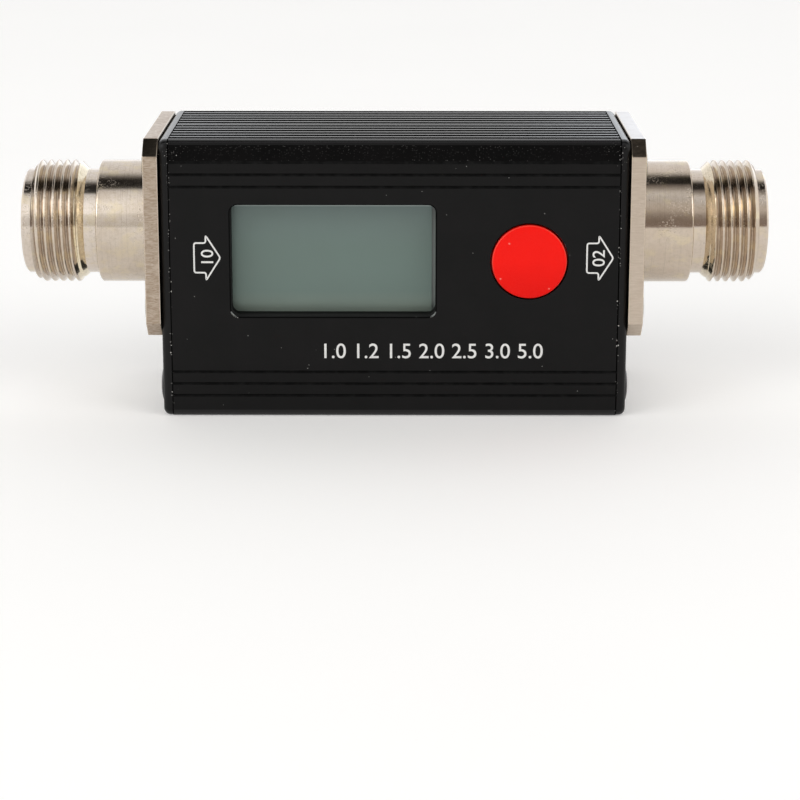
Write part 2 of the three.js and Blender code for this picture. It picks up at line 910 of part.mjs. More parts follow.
function cellParts() {
  const group = new THREE.Group();
  const cellBack = innerDepth - tape.thickness;
  const cellFront = couplerBack + battery.fromCoupler;
  const low = bossDrop + boss.radius + battery.fromLowerBoss;
  const high = boxHeight - bossDrop - boss.radius - battery.fromUpperBoss;
  const middle = (low + high) / 2;
  const cellOutline = roundedRectangle(0, middle, battery.width, high - low, battery.cornerRadius);
  group.add(mesh("battery_cell", alongY(cellOutline, cellFront, cellBack), finishes.cellWrap));
  const tapeBlock = block(
    -tape.width / 2,
    tape.width / 2,
    cellBack,
    innerDepth,
    middle - tape.height / 2,
    middle + tape.height / 2,
  );
  group.add(mesh("battery_tape", tapeBlock, finishes.foam));
  const plugCentre = cellPlug.fromShellEnd - shellEnd;
  const plugBlock = block(
    plugCentre - cellPlug.width / 2,
    plugCentre + cellPlug.width / 2,
    couplerBack,
    couplerBack + cellPlug.thickness,
    middle - cellPlug.height / 2,
    middle + cellPlug.height / 2,
  );
  group.add(mesh("battery_socket", plugBlock, finishes.whitePlastic));
  const from = -battery.width / 2 - lead.gap;
  const to = plugCentre + cellPlug.width / 2 + lead.gap;
  const cellMiddle = (cellFront + cellBack) / 2;
  const plugMiddle = couplerBack + cellPlug.thickness / 2;
  for (const [name, way, finish] of [
    ["battery_lead_positive", 1, finishes.redLead],
    ["battery_lead_negative", -1, finishes.blackLead],
  ]) {
    const height = middle + (way * lead.spacing) / 2;
    const route = new THREE.CubicBezierCurve3(
      new THREE.Vector3(from, cellMiddle, height),
      new THREE.Vector3((from + to) / 2, cellMiddle, height),
      new THREE.Vector3((from + to) / 2, plugMiddle, height),
      new THREE.Vector3(to, plugMiddle, height),
    );
    const section = new THREE.Shape(circle(0, 0, lead.radius, lead.sides));
    const tube = new THREE.ExtrudeGeometry(section, { steps: lead.steps, extrudePath: route });
    group.add(mesh(name, tube, finish));
  }
  return group;
}

// The charging socket: a stamped shell that is open at its outer end, with a contact tongue.

function chargingSocket() {
  const group = new THREE.Group();
  const mouth = shellEnd + plate.thickness - charge.inset;
  const start = mouth - charge.length;
  const middle = boardBack + charge.width / 2;
  const outline = (shrink) =>
    roundedRectangle(
      middle,
      charge.level,
      charge.width - 2 * shrink,
      charge.height - 2 * shrink,
      charge.cornerRadius - shrink,
    );
  const body = cut(
    alongX(outline(0), start, mouth),
    alongX(outline(charge.skin), start + charge.back, mouth + overrun),
  );
  group.add(mesh("charging_socket_shell", body, finishes.tin));
  const tongueBlock = block(
    start + charge.back + charge.tongueGap,
    mouth - charge.tongueInset,
    middle - charge.tongueWidth / 2,
    middle + charge.tongueWidth / 2,
    charge.level - charge.tongueThickness / 2,
    charge.level + charge.tongueThickness / 2,
  );
  group.add(mesh("charging_socket_tongue", tongueBlock, finishes.blackPlastic));
  return group;
}

// The push button: a moulded cap on the stem of a switch that stands on the main board.

const capFace = frontFace - button.proud;
const capFloor = capFace + button.web;
const capBack = frontInner + button.rimGap + button.rimThickness;
const switchFront = boardFront - tact.height;

function buttonCap() {
  const socketRadius = tact.stemRadius + tact.stemClearance;
  const hubRadius = socketRadius + button.hubWall;
  const rimRadius = button.radius + button.rimLedge;
  const skirt = button.radius - button.skirtWall;
  const rimFront = frontInner + button.rimGap;
  const profile = [
    [capFace, 0],
    [capFace, button.radius - button.edge],
    [capFace + button.edge, button.radius],
    [rimFront, button.radius],
    [rimFront, rimRadius],
    [capBack, rimRadius],
    [capBack, skirt],
    [capFace + button.skin, skirt],
    [capFace + button.skin, hubRadius],
    [capBack, hubRadius],
    [capBack, socketRadius],
    [capFloor, socketRadius],
    [capFloor, 0],
  ];
  const cap = mesh("button_cap", turnedY(profile, roundSides), finishes.redPlastic);
  cap.position.set(buttonCentre, 0, featureHeight);
  return cap;
}

function switchParts() {
  const group = new THREE.Group();
  group.position.set(buttonCentre, 0, featureHeight);
  const half = tact.width / 2;
  const housing = block(-half, half, switchFront, boardFront, -half, half);
  const well = turnedY(
    [
      [switchFront - overrun, 0],
      [switchFront - overrun, tact.stemRadius + tact.stemClearance],
      [switchFront + tact.wellDepth, tact.stemRadius + tact.stemClearance],
      [switchFront + tact.wellDepth, 0],
    ],
    roundSides,
  );
  const legs = [];
  for (const x of [-half, half]) {
    for (const z of [-half, half]) {
      const centre = z - (Math.sign(z) * tact.leg) / 2;
      const reach = x + Math.sign(x) * tact.leg;
      legs.push(
        block(
          Math.min(reach, x / 2),
          Math.max(reach, x / 2),
          boardFront - tact.leg / 2,
          boardFront,
          centre - tact.leg / 2,
          centre + tact.leg / 2,
        ),
      );
    }
  }
  group.add(mesh("switch_housing", cut(join(housing, ...legs), well), finishes.blackPlastic));
  const stem = turnedY(
    [
      [capFloor, 0],
      [capFloor, tact.stemRadius],
      [switchFront + tact.stemInset, tact.stemRadius],
      [switchFront + tact.stemInset, 0],
    ],
    roundSides,
  );
  group.add(mesh("switch_stem", stem, finishes.whitePlastic));
  return group;
}

// The whole meter

const meter = new THREE.Group();
meter.name = "swr_meter";
meter.add(frontShell());
meter.add(rearShell());
meter.add(end("in", -1));
meter.add(end("out", 1));
meter.add(displayParts());
meter.add(mainBoard());
meter.add(couplerBoard());
meter.add(boardParts());
meter.add(cellParts());
meter.add(chargingSocket());
meter.add(buttonCap());
meter.add(switchParts());
meter.updateMatrixWorld(true);

export default meter;
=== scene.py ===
"""The looks of the pocket SWR meter, built round its solids.

Everything is in metres and in the part's own frame: X runs from the input end to the output
end, Y from the display face to the back face, Z is up, and the origin is on the floor under
the middle of the box. One end of the meter is drawn for the output side, with zero at the end
of the ribbed shells and on the socket's axis, and the input side is the same, turned half round.
A colour of three whole numbers is in the 0 to 255 steps of a screen.
"""

import json
import math

import bmesh
import bpy
from mathutils import Matrix, Vector


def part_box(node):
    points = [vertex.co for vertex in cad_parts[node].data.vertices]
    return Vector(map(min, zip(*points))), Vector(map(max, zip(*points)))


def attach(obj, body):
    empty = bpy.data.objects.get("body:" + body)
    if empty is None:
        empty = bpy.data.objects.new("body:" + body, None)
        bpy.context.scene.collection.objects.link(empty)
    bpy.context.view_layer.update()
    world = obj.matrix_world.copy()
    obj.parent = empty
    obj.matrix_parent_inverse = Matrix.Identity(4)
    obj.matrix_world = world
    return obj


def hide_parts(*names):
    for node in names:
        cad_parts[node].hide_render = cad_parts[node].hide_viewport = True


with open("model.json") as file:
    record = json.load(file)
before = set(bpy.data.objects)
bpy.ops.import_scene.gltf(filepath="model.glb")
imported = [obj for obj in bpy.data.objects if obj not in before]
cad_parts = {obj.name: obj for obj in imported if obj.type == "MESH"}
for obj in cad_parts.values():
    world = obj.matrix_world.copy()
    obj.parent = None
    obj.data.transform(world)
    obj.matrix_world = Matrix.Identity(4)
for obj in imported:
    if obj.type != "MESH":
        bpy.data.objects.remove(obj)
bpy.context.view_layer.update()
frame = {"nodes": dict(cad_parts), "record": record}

# Camera: fitted to the edges of the meter in the photograph, turned by its yaw, pitch, level and roll

CAMERA_PLACE = Vector((0.001385, -0.284052, 0.082845))
CAMERA_TURNS = (("Z", 0.142), ("X", -12.994), ("X", 90), ("Z", 0.022))
CAMERA_LENS = 99.981
CAMERA_SENSOR = 36.0
CAMERA_NEAREST = 0.01
PHOTO_PIXELS = 800
METER_MIDDLE_ROW = 263

# Sizes of the detailed pieces

ROUND_SIDES = 96
SMALL_SIDES = 48
SHARP_ANGLE = math.radians(35)
SOCKET_SHARP_ANGLE = math.radians(40)
SOFT_EDGE_ANGLE = math.radians(26)
FLAT_ANGLE = math.radians(0.4)
WELD = 1e-7
NEARLY = 1e-6

SHELL_EDGE = 0.00007
PLATE_EDGE = 0.00008
SMALL_EDGE = 0.00005
EDGE_STEPS = 2
ROUND_PROFILE_SHARE = 0.5

THREAD_PITCH = 0.0254 / 24
THREAD_DEPTH = 0.0006
RISE_SHARES = ((0, 0), (0.03, 0), (0.06, 0.05), (0.34, 0.84), (0.4, 0.96), (0.46, 1))
FALL_SHARES = ((0.54, 1), (0.6, 0.96), (0.66, 0.84), (0.94, 0.05), (0.97, 0))
FLANK_SHARES = RISE_SHARES + FALL_SHARES
ROOT_SHARE = 0.7
FLANGE_THICKNESS = 0.0019
FLANGE_CORNER = 0.002
FLANGE_EDGE = 0.00012


class Socket:
    thread_radius = 0.0079375
    collar_length = 0.00675
    collar_round = 0.00032
    round_steps = 5
    neck_radius = 0.00678
    neck_length = 0.00165
    taper_length = 0.00115
    thread_chamfer = 0.00055
    lip_length = 0.0013
    lip_chamfer = 0.00025
    spigot_radius = 0.0056
    spigot_reach = 0.001
    bore_radius = 0.0043
    bore_chamfer = 0.0003
    bore_depth = 0.0092
    insulator_radius = 0.0035
    clearance = 0.0001


class Contact:
    radius = 0.00152
    hole_radius = 0.00083
    hole_depth = 0.005
    slot_width = 0.00035
    slot_length = 0.004
    tip_round = 0.00025
    round_steps = 4
    tail_radius = 0.00065
    tail_reach = 0.0034


class Screw:
    radius = 0.00125
    head_radius = 0.00235
    head_depth = 0.0011
    dome_height = 0.00045
    dome_steps = 8
    clearance = 0.00012
    point = 0.0004
    recess_width = 0.00055
    recess_reach = 0.00125
    recess_depth = 0.0008
    recess_floor_share = 0.55
    twist_share = 1.7


class Cap:
    radius = 0.0047
    edge = 0.00024
    edge_steps = 6
    edge_turn = math.cos(math.radians(75))
    crown = 0.00005
    crown_steps = 6
    rim_radius = 0.0056
    rim_thickness = 0.0006
    skin = 0.001
    web = 0.002
    hub_radius = 0.0028
    socket_radius = 0.0019
    skirt_wall = 0.0008


# Regions of the shells: a face belongs where its normal leans by less than an angle

FLAT_TURN, LAND_TURN, STRIP_TURN, RIM_TURN, FOOT_TURN = (
    math.cos(math.radians(degrees)) for degrees in (2, 15, 30, 47, 62)
)
LAST_LAND = 0.0095
LEAN_START = 0.0323
LEAN_REACH = 0.00095
LEAN_SLOPE = math.tan(math.radians(5.5))
GROOVE_DEPTH = 0.0002
GROOVE_SEEN_DEPTH = 0.00014
GROOVE_START = 0.00003
GROOVE_TOP = 0.0331
SEAM_REACH = 0.0002
SEAM_WIDTH = 0.00012


class Window:
    left = -0.0206
    right = 0.0052
    bottom = 0.0131
    top = 0.0275
    lip = 0.00015
    corner = 0.0007
    depth = 0.003


# Printed marks on the front face: lines are centre lines, from their places in the photograph

PRINT_THICKNESS = 0.00002
ARROW_LEFT = {"in": -0.02514, "out": 0.02418}
ARROW_HEIGHT = 0.02075
ARROW_NUMBER_SIZE = 0.0022
ARROW_NUMBER_PLACE = 0.00155
SCALE_NUMBERS = ("1.0", "1.2", "1.5", "2.0", "2.5", "3.0", "5.0")
SCALE_FROM = -0.00775
SCALE_TO = 0.0172
SCALE_SIZE = 0.00275
SCALE_BASE = 0.00765
SCALE_HEIGHT = SCALE_BASE + SCALE_SIZE / 3
LETTER_WEIGHT = 0.00001


class Arrow:
    stroke = 0.0002
    stem_length = 0.00147
    stem_height = 0.00381
    head_length = 0.00183
    head_height = 0.0058
    corner = 0.0003
    corner_steps = 4
    least_mitre_share = 0.5


# Places that come from the solids

shell_low, shell_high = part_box("front_shell")
contact_low, contact_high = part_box("out_socket_contact")
body_low, body_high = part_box("out_socket_body")
plate_low, plate_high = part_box("out_end_plate")
cap_low, cap_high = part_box("button_cap")
insulator_low, insulator_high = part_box("out_socket_insulator")

SHELL_END = shell_high.x
FRONT_FACE = shell_low.y
AXIS_HEIGHT = (contact_low.z + contact_high.z) / 2
PLATE_OUTER = plate_high.x - SHELL_END
FLANGE_OUTER = PLATE_OUTER + FLANGE_THICKNESS
FLANGE_SIZE = body_high.z - body_low.z
SOCKET_TIP = body_high.x - SHELL_END
COLLAR_END = FLANGE_OUTER + Socket.collar_length
NECK_END = COLLAR_END + Socket.neck_length
THREAD_END = SOCKET_TIP - Socket.lip_length
INSULATOR_START = insulator_low.x - SHELL_END

UPRIGHT = Matrix.Rotation(math.pi / 2, 4, "X")
OUT_END = Matrix.Translation((SHELL_END, 0, AXIS_HEIGHT))
IN_END = Matrix.Rotation(math.pi, 4, "Z") @ OUT_END


# Mesh helpers


def around(x, radius, angle):
    return (x, radius * math.cos(angle), radius * math.sin(angle))


def turned(profile, sides):
    """A solid of (place along, radius) points turned about the X axis."""
    mesh = bmesh.new()
    angles = [math.tau * i / sides for i in range(sides)]
    rings = [[mesh.verts.new(around(x, radius, angle)) for angle in angles] for x, radius in profile]
    for near, far in zip(rings, rings[1:]):
        bridge(mesh, near, far)
    return cleaned(mesh)


def bridge(mesh, near, far):
    """Joins two rings of points with faces."""
    for i in range(len(near)):
        j = (i + 1) % len(near)
        mesh.faces.new((near[i], near[j], far[j], far[i]))


def cleaned(mesh):
    """Welds points that meet and turns every face outwards."""
    bmesh.ops.remove_doubles(mesh, verts=mesh.verts, dist=WELD)
    bmesh.ops.dissolve_degenerate(mesh, edges=mesh.edges, dist=WELD)
    bmesh.ops.recalc_face_normals(mesh, faces=mesh.faces)
    return mesh


def prism(points, near, far):
    """An outline of (Y, Z) points drawn out along X."""
    mesh = bmesh.new()
    ends = [[mesh.verts.new((x, y, z)) for y, z in points] for x in (near, far)]
    for end in ends:
        mesh.faces.new(end)
    bridge(mesh, *ends)
    return cleaned(mesh)


def quarter_turn(steps):
    """The sine and cosine of each step of a quarter turn."""
    angles = [math.pi / 2 * i / steps for i in range(steps + 1)]
    return [(math.sin(angle), math.cos(angle)) for angle in angles]


def quarter_round(end, radius, size, steps):
    """Points from a turned face's side to its end, round a corner."""
    return [(end - size * (1 - sine), radius - size * (1 - cosine)) for sine, cosine in quarter_turn(steps)]


def rectangle(reach, half):
    return [(-reach, -half), (reach, -half), (reach, half), (-reach, half)]


def is_sharp(edge):
    """Tells a sharp edge that has not been rounded yet."""
    if not edge.is_manifold or edge.calc_face_angle() < SOFT_EDGE_ANGLE:
        return False
    return all(face.material_index == 0 for face in edge.link_faces)


def eased(mesh, width, steps=EDGE_STEPS, index=1, chosen=None):
    """Rounds the sharp edges, or those that are chosen, and gives the new faces a material."""
    made = bmesh.ops.bevel(
        mesh,
        geom=chosen or [edge for edge in mesh.edges if is_sharp(edge)],
        offset=width,
        segments=steps,
        profile=ROUND_PROFILE_SHARE,
        affect="EDGES",
        clamp_overlap=True,
    )
    for face in made["faces"]:
        face.material_index = index
    return mesh


def linked(name, data):
    thing = bpy.data.objects.new(name, data)
    bpy.context.collection.objects.link(thing)
    return thing


def plain_object(name, mesh):
    data = bpy.data.meshes.new(name)
    mesh.to_mesh(data)
    mesh.free()
    return linked(name, data)


def evaluated(thing, others=()):
    """The final mesh of an object, which is removed with the others."""
    bpy.context.view_layer.update()
    mesh = bmesh.new()
    mesh.from_mesh(thing.evaluated_get(bpy.context.evaluated_depsgraph_get()).to_mesh())
    for used in (thing, *others):
        bpy.data.objects.remove(used)
    return mesh


def combined(mesh, others, operation):
    """The mesh with the others cut from it or joined to it."""
    target = plain_object("target", mesh)
    tools = [plain_object("tool", other) for other in others]
    for tool in tools:
        modifier = target.modifiers.new("combine", "BOOLEAN")
        modifier.operation = operation
        modifier.solver = "EXACT"
        modifier.object = tool
    return evaluated(target, tools)


def placed(mesh, matrix):
    copy = mesh.copy()
    bmesh.ops.transform(copy, matrix=matrix, verts=copy.verts)
    return copy


def piece(name, mesh, looks, replaced=None, body="meter", sharp=SHARP_ANGLE):
    """Makes one named piece that rides on a body and may stand for a CAD node."""
    thing = plain_object(name, mesh)
    for look in looks:
        thing.data.materials.append(finishes[look].material)
    thing.data.shade_smooth()
    thing.data.set_sharp_from_angle(angle=sharp)
    weighted = thing.modifiers.new("even shading", "WEIGHTED_NORMAL")
    weighted.keep_sharp = True
    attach(thing, body)
    if replaced:
        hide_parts(replaced)


def node_copy(node):
    mesh = bmesh.new()
    mesh.from_mesh(frame["nodes"][node].data)
    bmesh.ops.remove_doubles(mesh, verts=mesh.verts, dist=WELD)
    for face in mesh.faces:
        face.material_index = 0
    bmesh.ops.dissolve_limit(mesh, angle_limit=FLAT_ANGLE, verts=mesh.verts, edges=mesh.edges)
    return mesh


# Material helpers

NOISE = {"detail": 3, "rough": 0.55, "distortion": 0.0}
SPECK_WANDER_SHARE = 0.25
SPECK_SHIFT_SHARE = 0.12
MIX_FACTOR, MIX_FIRST, MIX_SECOND, MIX_RESULT = 0, 6, 7, 2

finishes = {}


def paint(*channels):
    """A screen colour as the shader reads it."""
    levels = (channel / 255 for channel in channels)
    return (*(v / 12.92 if v <= 0.04045 else ((v + 0.055) / 1.055) ** 2.4 for v in levels), 1.0)


class Nodes:
    """A node tree, with the helpers that the finishes and the light share."""

    def __init__(self, tree):
        self.tree = tree

    def feed(self, sockets, values):
        """Links other nodes' outputs to sockets, or sets them to plain values."""
        for key, value in values.items():
            if isinstance(value, bpy.types.NodeSocket):
                self.tree.links.new(value, sockets[key])
            else:
                sockets[key].default_value = value

    def add(self, kind, inputs, **settings):
        """The outputs of a new node with these inputs and settings."""
        node = self.tree.nodes.new(f"ShaderNode{kind}")
        for key, value in settings.items():
            setattr(node, key, value)
        self.feed(node.inputs, inputs)
        return node.outputs

    def maths(self, operation, first, second=0.0):
        return self.add("Math", {0: first, 1: second}, operation=operation)["Value"]

    def product(self, *values):
        """Several values multiplied, without those that are plainly one."""
        total, *others = [value for value in values if value != 1.0]
        for value in others:
            total = self.maths("MULTIPLY", total, value)
        return total

    def above(self, value, limit):
        return self.maths("GREATER_THAN", value, limit)

    def below(self, value, limit):
        return self.maths("LESS_THAN", value, limit)

    def axes(self, vector):
        return self.add("SeparateXYZ", {"Vector": vector})

    def span(self, value, low=0.0, high=1.0, to_low=0.0, to_high=1.0, form="LINEAR"):
        """A value carried from one span to another."""
        ends = {"Value": value, "From Min": low, "From Max": high, "To Min": to_low, "To Max": to_high}
        return self.add("MapRange", ends, interpolation_type=form)["Result"]

    def ramp(self, value, stops):
        """A value read through stops of a place with one level, or with red, green and blue."""
        node = self.tree.nodes.new("ShaderNodeValToRGB")
        elements = node.color_ramp.elements
        while len(elements) < len(stops):
            elements.new(0.5)
        for element, (place, *levels) in zip(elements, stops):
            element.position = place
            element.color = (*(levels if len(levels) == 3 else levels * 3), 1.0)
        self.feed(node.inputs, {"Fac": value})
        return node.outputs["Color"]

    def mix(self, share, first, second):
        """One colour turned into another by a share, through the colour sockets of the node."""
        inputs = {MIX_FACTOR: share, MIX_FIRST: first, MIX_SECOND: second}
        return self.add("Mix", inputs, data_type="RGBA")[MIX_RESULT]


class Finish(Nodes):
    """One material, with procedural layers added to it.

    A layer has a pattern: noise with details of a size, specks in a grid of a spacing, a weave,
    the height up a node's box, or none. Its stops turn the pattern into a mask for the tint. It
    may hold only within a named mask, in patches, or with a share of its strength.
    """

    def __init__(self, name, colour, roughness, metallic=0.0, specular=0.5):
        self.material = bpy.data.materials.new(name)
        self.material.use_nodes = True
        super().__init__(self.material.node_tree)
        self.shader = self.tree.nodes["Principled BSDF"].inputs
        self.colour = paint(*colour)
        self.relief = {}
        self.masks = {}
        self.at = self.add("TexCoord", {})["Object"]
        self.feed(self.shader, {"Base Color": self.colour, "Roughness": roughness})
        self.feed(self.shader, {"Metallic": metallic, "Specular IOR Level": specular})
        finishes[name] = self

    def coords(self, size):
        """Object coordinates in steps of one detail's size along each axis."""
        sizes = size if isinstance(size, tuple) else (size, size, size)
        scale = [1 / length for length in sizes]
        return self.add("Mapping", {"Vector": self.at, "Scale": scale})["Vector"]

    def noise(self, layer):
        layer = {**NOISE, **layer}
        inputs = {"Vector": self.coords(layer["size"]), "Scale": 1.0, "Detail": layer["detail"]}
        inputs |= {"Roughness": layer["rough"], "Distortion": layer["distortion"]}
        return self.add("TexNoise", inputs)["Fac"]

    def specks(self, layer):
        """A mask of small irregular specks in a share of the cells of a loose grid."""
        spacing = layer["spacing"]
        often = 1 / (spacing * SPECK_WANDER_SHARE)
        wander = self.add("TexNoise", {"Vector": self.at, "Scale": often})["Color"]
        sums = {0: wander, 1: [spacing * SPECK_SHIFT_SHARE] * 3, 2: self.at}
        shifted = self.add("VectorMath", sums, operation="MULTIPLY_ADD")["Vector"]
        cells = self.add("TexVoronoi", {"Vector": shifted, "Scale": 1 / spacing})
        colours = self.add("SeparateColor", {"Color": cells["Color"]})
        near = self.below(cells["Distance"], layer["size_share"])
        kept = self.below(colours["Red"], layer["kept_share"])
        return self.product(near, colours["Green"], kept)

    def pattern(self, layer):
        if "spacing" in layer:
            return self.specks(layer)
        if "weave" in layer:
            inputs = {"Vector": self.coords(layer["weave"]), "Scale": 1.0}
            return self.add("TexChecker", inputs)["Fac"]
        if "up" in layer:
            low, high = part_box(layer["up"])
            return self.span(self.axes(self.at)["Z"], low.z, high.z)
        return self.noise(layer) if "size" in layer else 1.0

    def lay(self, layer):
        """Adds one layer's tint, gloss and relief."""
        value = self.pattern(layer)
        where = self.masks.get(layer.get("where"), 1.0)
        if "patches" in layer:
            patches = layer["patches"]
            where = self.product(where, self.ramp(self.noise(patches), patches["stops"]))
        if "tint" in layer:
            mask = self.ramp(value, layer["stops"]) if "stops" in layer else value
            self.tint(self.product(mask, where, layer.get("share", 1.0)), paint(*layer["tint"]))
        if "gloss" in layer:
            self.vary_roughness(value, *layer["gloss"])
        if "bump" in layer:
            self.bump(self.product(value, where), layer["bump"], layer.get("strength", 1.0))

    def tint(self, mask, colour):
        """Lays a colour over what is there, where the mask is bright."""
        self.colour = self.mix(mask, self.colour, colour)
        self.feed(self.shader, {"Base Color": self.colour})

    def vary_roughness(self, value, low, high):
        self.feed(self.shader, {"Roughness": self.span(value, to_low=low, to_high=high)})

    def bump(self, height, depth, strength=1.0):
        """Raises the surface by up to a depth in metres, over the bumps that are there."""
        inputs = {"Strength": strength, "Distance": depth, "Height": height, **self.relief}
        self.relief = {"Normal": self.add("Bump", inputs)["Normal"]}
        self.feed(self.shader, self.relief)


# Anodising: colour, roughness, specular level, depth of grain, depth of drawn lines, share of dust

GREY_DUST = (120, 120, 118)
BARE_METAL = (190, 188, 184)
GLOSS_REACH = 0.08
ANODISED = {
    "anodised_shell": ((7, 7, 7), 0.37, 0.165, 3e-6, 2e-6, 0.25),
    # The strip under the top edge in a darker, less reflective copy of the anodising: painted shade.
    "shell_strip_painted_shade": ((6, 6, 6), 0.42, 0.05, 5e-6, 2e-6, 0.25),
    "shell_top": ((8, 7, 8), 0.22, 0.2, 2e-6, 3e-6, 0.25),
    # The upper arc of the shell's edge in a lighter, shinier copy of the anodising: a painted highlight.
    "shell_rim_painted_highlight": ((14, 14, 15), 0.24, 0.5, 1e-6, 1e-6, 0.12),
    # The land at the top of the face in a lighter, glossier copy of the anodising: a painted highlight.
    "shell_land_painted_highlight": ((40, 40, 41), 0.11, 0.9, 1e-6, 1e-6, 0.12),
    # The strip along the foot of the face in a lighter, more reflective copy of the anodising: a painted
    # sheen.
    "shell_foot_painted_sheen": ((10, 10, 10), 0.36, 0.33, 3e-6, 2e-6, 0.25),
    "end_plate": ((12, 12, 12), 0.34, 0.2, 2e-6, 2e-6, 0.12),
    # The plates' upward faces in a lighter, glossier copy of their anodising: a painted highlight.
    "end_plate_top_painted_highlight": ((14, 14, 15), 0.24, 0.42, 2e-6, 2e-6, 0.12),
    "black_screw": ((20, 20, 21), 0.3, 0.5, 3e-6, 1e-6, 0.1),
}
CLOUDING = {"size": 0.006, "detail": 4, "tint": (17, 15, 16), "stops": ((0.35, 0), (0.7, 0.5))}
DRAWN_LINES = {"size": (0.03, 0.00012, 0.00012), "detail": 2}
BLASTED_GRAIN = {"size": 0.00009, "detail": 2}
DRAWN_SHARE = 0.6
DUST = ({"spacing": 0.0011, "size_share": 0.06}, {"spacing": 0.0026, "size_share": 0.035})
SPARKLE = {
    "spacing": 0.00022, "size_share": 0.3, "kept_share": 0.5, "tint": (68, 67, 66),
    "patches": {"size": 0.005, "stops": ((0.3, 0.3), (0.65, 1))},
}


def anodised(name, colour, roughness, specular, grain, lines, dust):
    """Black anodising: drawn lines, a fine blasted grain, faint clouding and dust."""
    finish = Finish(name, colour, roughness, specular=specular)
    finish.lay(CLOUDING)
    drawn = finish.noise(DRAWN_LINES)
    fine = finish.noise(BLASTED_GRAIN)
    mixed = finish.maths("ADD", finish.product(drawn, DRAWN_SHARE), finish.product(fine, 1 - DRAWN_SHARE))
    finish.vary_roughness(mixed, roughness - GLOSS_REACH, roughness + GLOSS_REACH)
    finish.bump(drawn, lines)
    finish.bump(fine, grain)
    for specks in DUST:
        finish.lay({**specks, "kept_share": dust, "tint": GREY_DUST})


# Worn edges: colour, roughness, specular level, share of the chips. The shell's and plates' edges are lighter
# than their faces: partly wear, partly a painted highlight.

WORN = {
    "shell_edge_wear_and_highlight": ((40, 39, 40), 0.3, 0.45, 0.4),
    "window_edge": ((4, 4, 4), 0.5, 0.05, 0.12),
    "end_plate_edge_wear_and_highlight": ((26, 26, 26), 0.26, 0.45, 0.35),
}
EDGE_CHIPS = {"spacing": 0.00055, "size_share": 0.26}
EDGE_RELIEF = {"size": 0.0007, "detail": 5, "rough": 0.7, "bump": 4e-6}
SEAM_CHIPS = {
    "half_band": 0.0002, "spacing": 0.00026, "size_share": 0.36, "kept_share": 0.4, "tint": BARE_METAL,
    "where": "seam", "patches": {"size": 0.0011, "stops": ((0.5, 0), (0.56, 1))},
}
CORNER_CHIPS = {
    "reach": 0.0022, "from": 0.0318, "spacing": 0.00028, "size_share": 0.2, "kept_share": 0.36,
    "tint": BARE_METAL, "where": "corner",
    "patches": {"size": 0.0014, "stops": ((0.42, 0), (0.62, 1))},
}
CHIPPED = ("anodised_shell", "shell_strip_painted_shade", "shell_foot_painted_sheen", "shell_edge_wear_and_highlight", "end_plate", "end_plate_edge_wear_and_highlight")
CHIPPED += ("seam_shadow",)


def worn(name, colour, roughness, specular, chipped):
    """An edge of the anodising, chipped through to the metal in small spots; the lighter shell and plate
    edges are partly a painted highlight.
    """
    finish = Finish(name, colour, roughness, specular=specular)
    chips = finish.specks({**EDGE_CHIPS, "kept_share": chipped})
    finish.tint(chips, paint(*BARE_METAL))
    finish.feed(finish.shader, {"Metallic": chips})
    finish.lay(EDGE_RELIEF)


def chip_seam(finish):
    """Bright chips in loose runs along the seam, and scattered at the box's upper corners."""
    x, _, z = finish.axes(finish.at)
    inward = finish.maths("SUBTRACT", SHELL_END, finish.maths("ABSOLUTE", x))
    beside = finish.below(inward, CORNER_CHIPS["reach"])
    upper = finish.above(z, CORNER_CHIPS["from"])
    finish.masks = {
        "seam": finish.below(finish.maths("ABSOLUTE", inward), SEAM_CHIPS["half_band"]),
        "corner": finish.product(beside, upper),
    }
    finish.lay(SEAM_CHIPS)
    finish.lay(CORNER_CHIPS)


# Plain finishes: colour, roughness, and what differs from the usual grain

PLAIN = {
    "groove_shadow": ((11, 11, 11), 0.6, {"grain": 0.00006, "shade": (32, 32, 32), "specular": 0.05}),
    "window_wall": ((44, 44, 44), 0.7, {"grain": 0.0001, "specular": 0.02}),
    "seam_shadow": ((3, 3, 3), 0.7, {"specular": 0.02}),
    "print_white": ((232, 232, 230), 0.5, {"grain": 0.00008}),
    "ptfe": ((240, 238, 231), 0.48, {"grain": 0.00015, "depth": 3e-6}),
    "contact": ((232, 196, 118), 0.2, {"grain": 0.0001, "depth": 2e-6, "metallic": 1.0}),
    "steel_screw": ((202, 198, 190), 0.26, {"grain": 0.00012, "depth": 3e-6, "metallic": 1.0}),
    "lcd_glass": ((126, 134, 130), 0.16, {"grain": 0.0004, "depth": 1e-6}),
    "elastomer": ((92, 92, 92), 0.8, {"shade": (64, 64, 66)}),
    "black_plastic": ((12, 12, 12), 0.6, {"grain": 0.00012, "depth": 6e-6, "specular": 0.08}),
    "copper": ((212, 200, 184), 0.28, {"shade": (206, 150, 112), "metallic": 1.0}),
    "ceramic_chip": ((236, 234, 226), 0.6, {}),
    "foam": ((52, 52, 52), 0.9, {"grain": 0.0003, "depth": 0.00006}),
    "white_plastic": ((236, 232, 220), 0.45, {}),
    "red_lead": ((176, 26, 22), 0.42, {}),
    "black_lead": ((26, 26, 26), 0.42, {}),
    "tinned_steel": ((208, 208, 205), 0.3, {"grain": 0.00025, "metallic": 1.0}),
}
PLAIN_CLOUD = {"grains": 14, "detail": 4, "stops": ((0.4, 0), (0.75, 0.6)), "darker_share": 0.82}


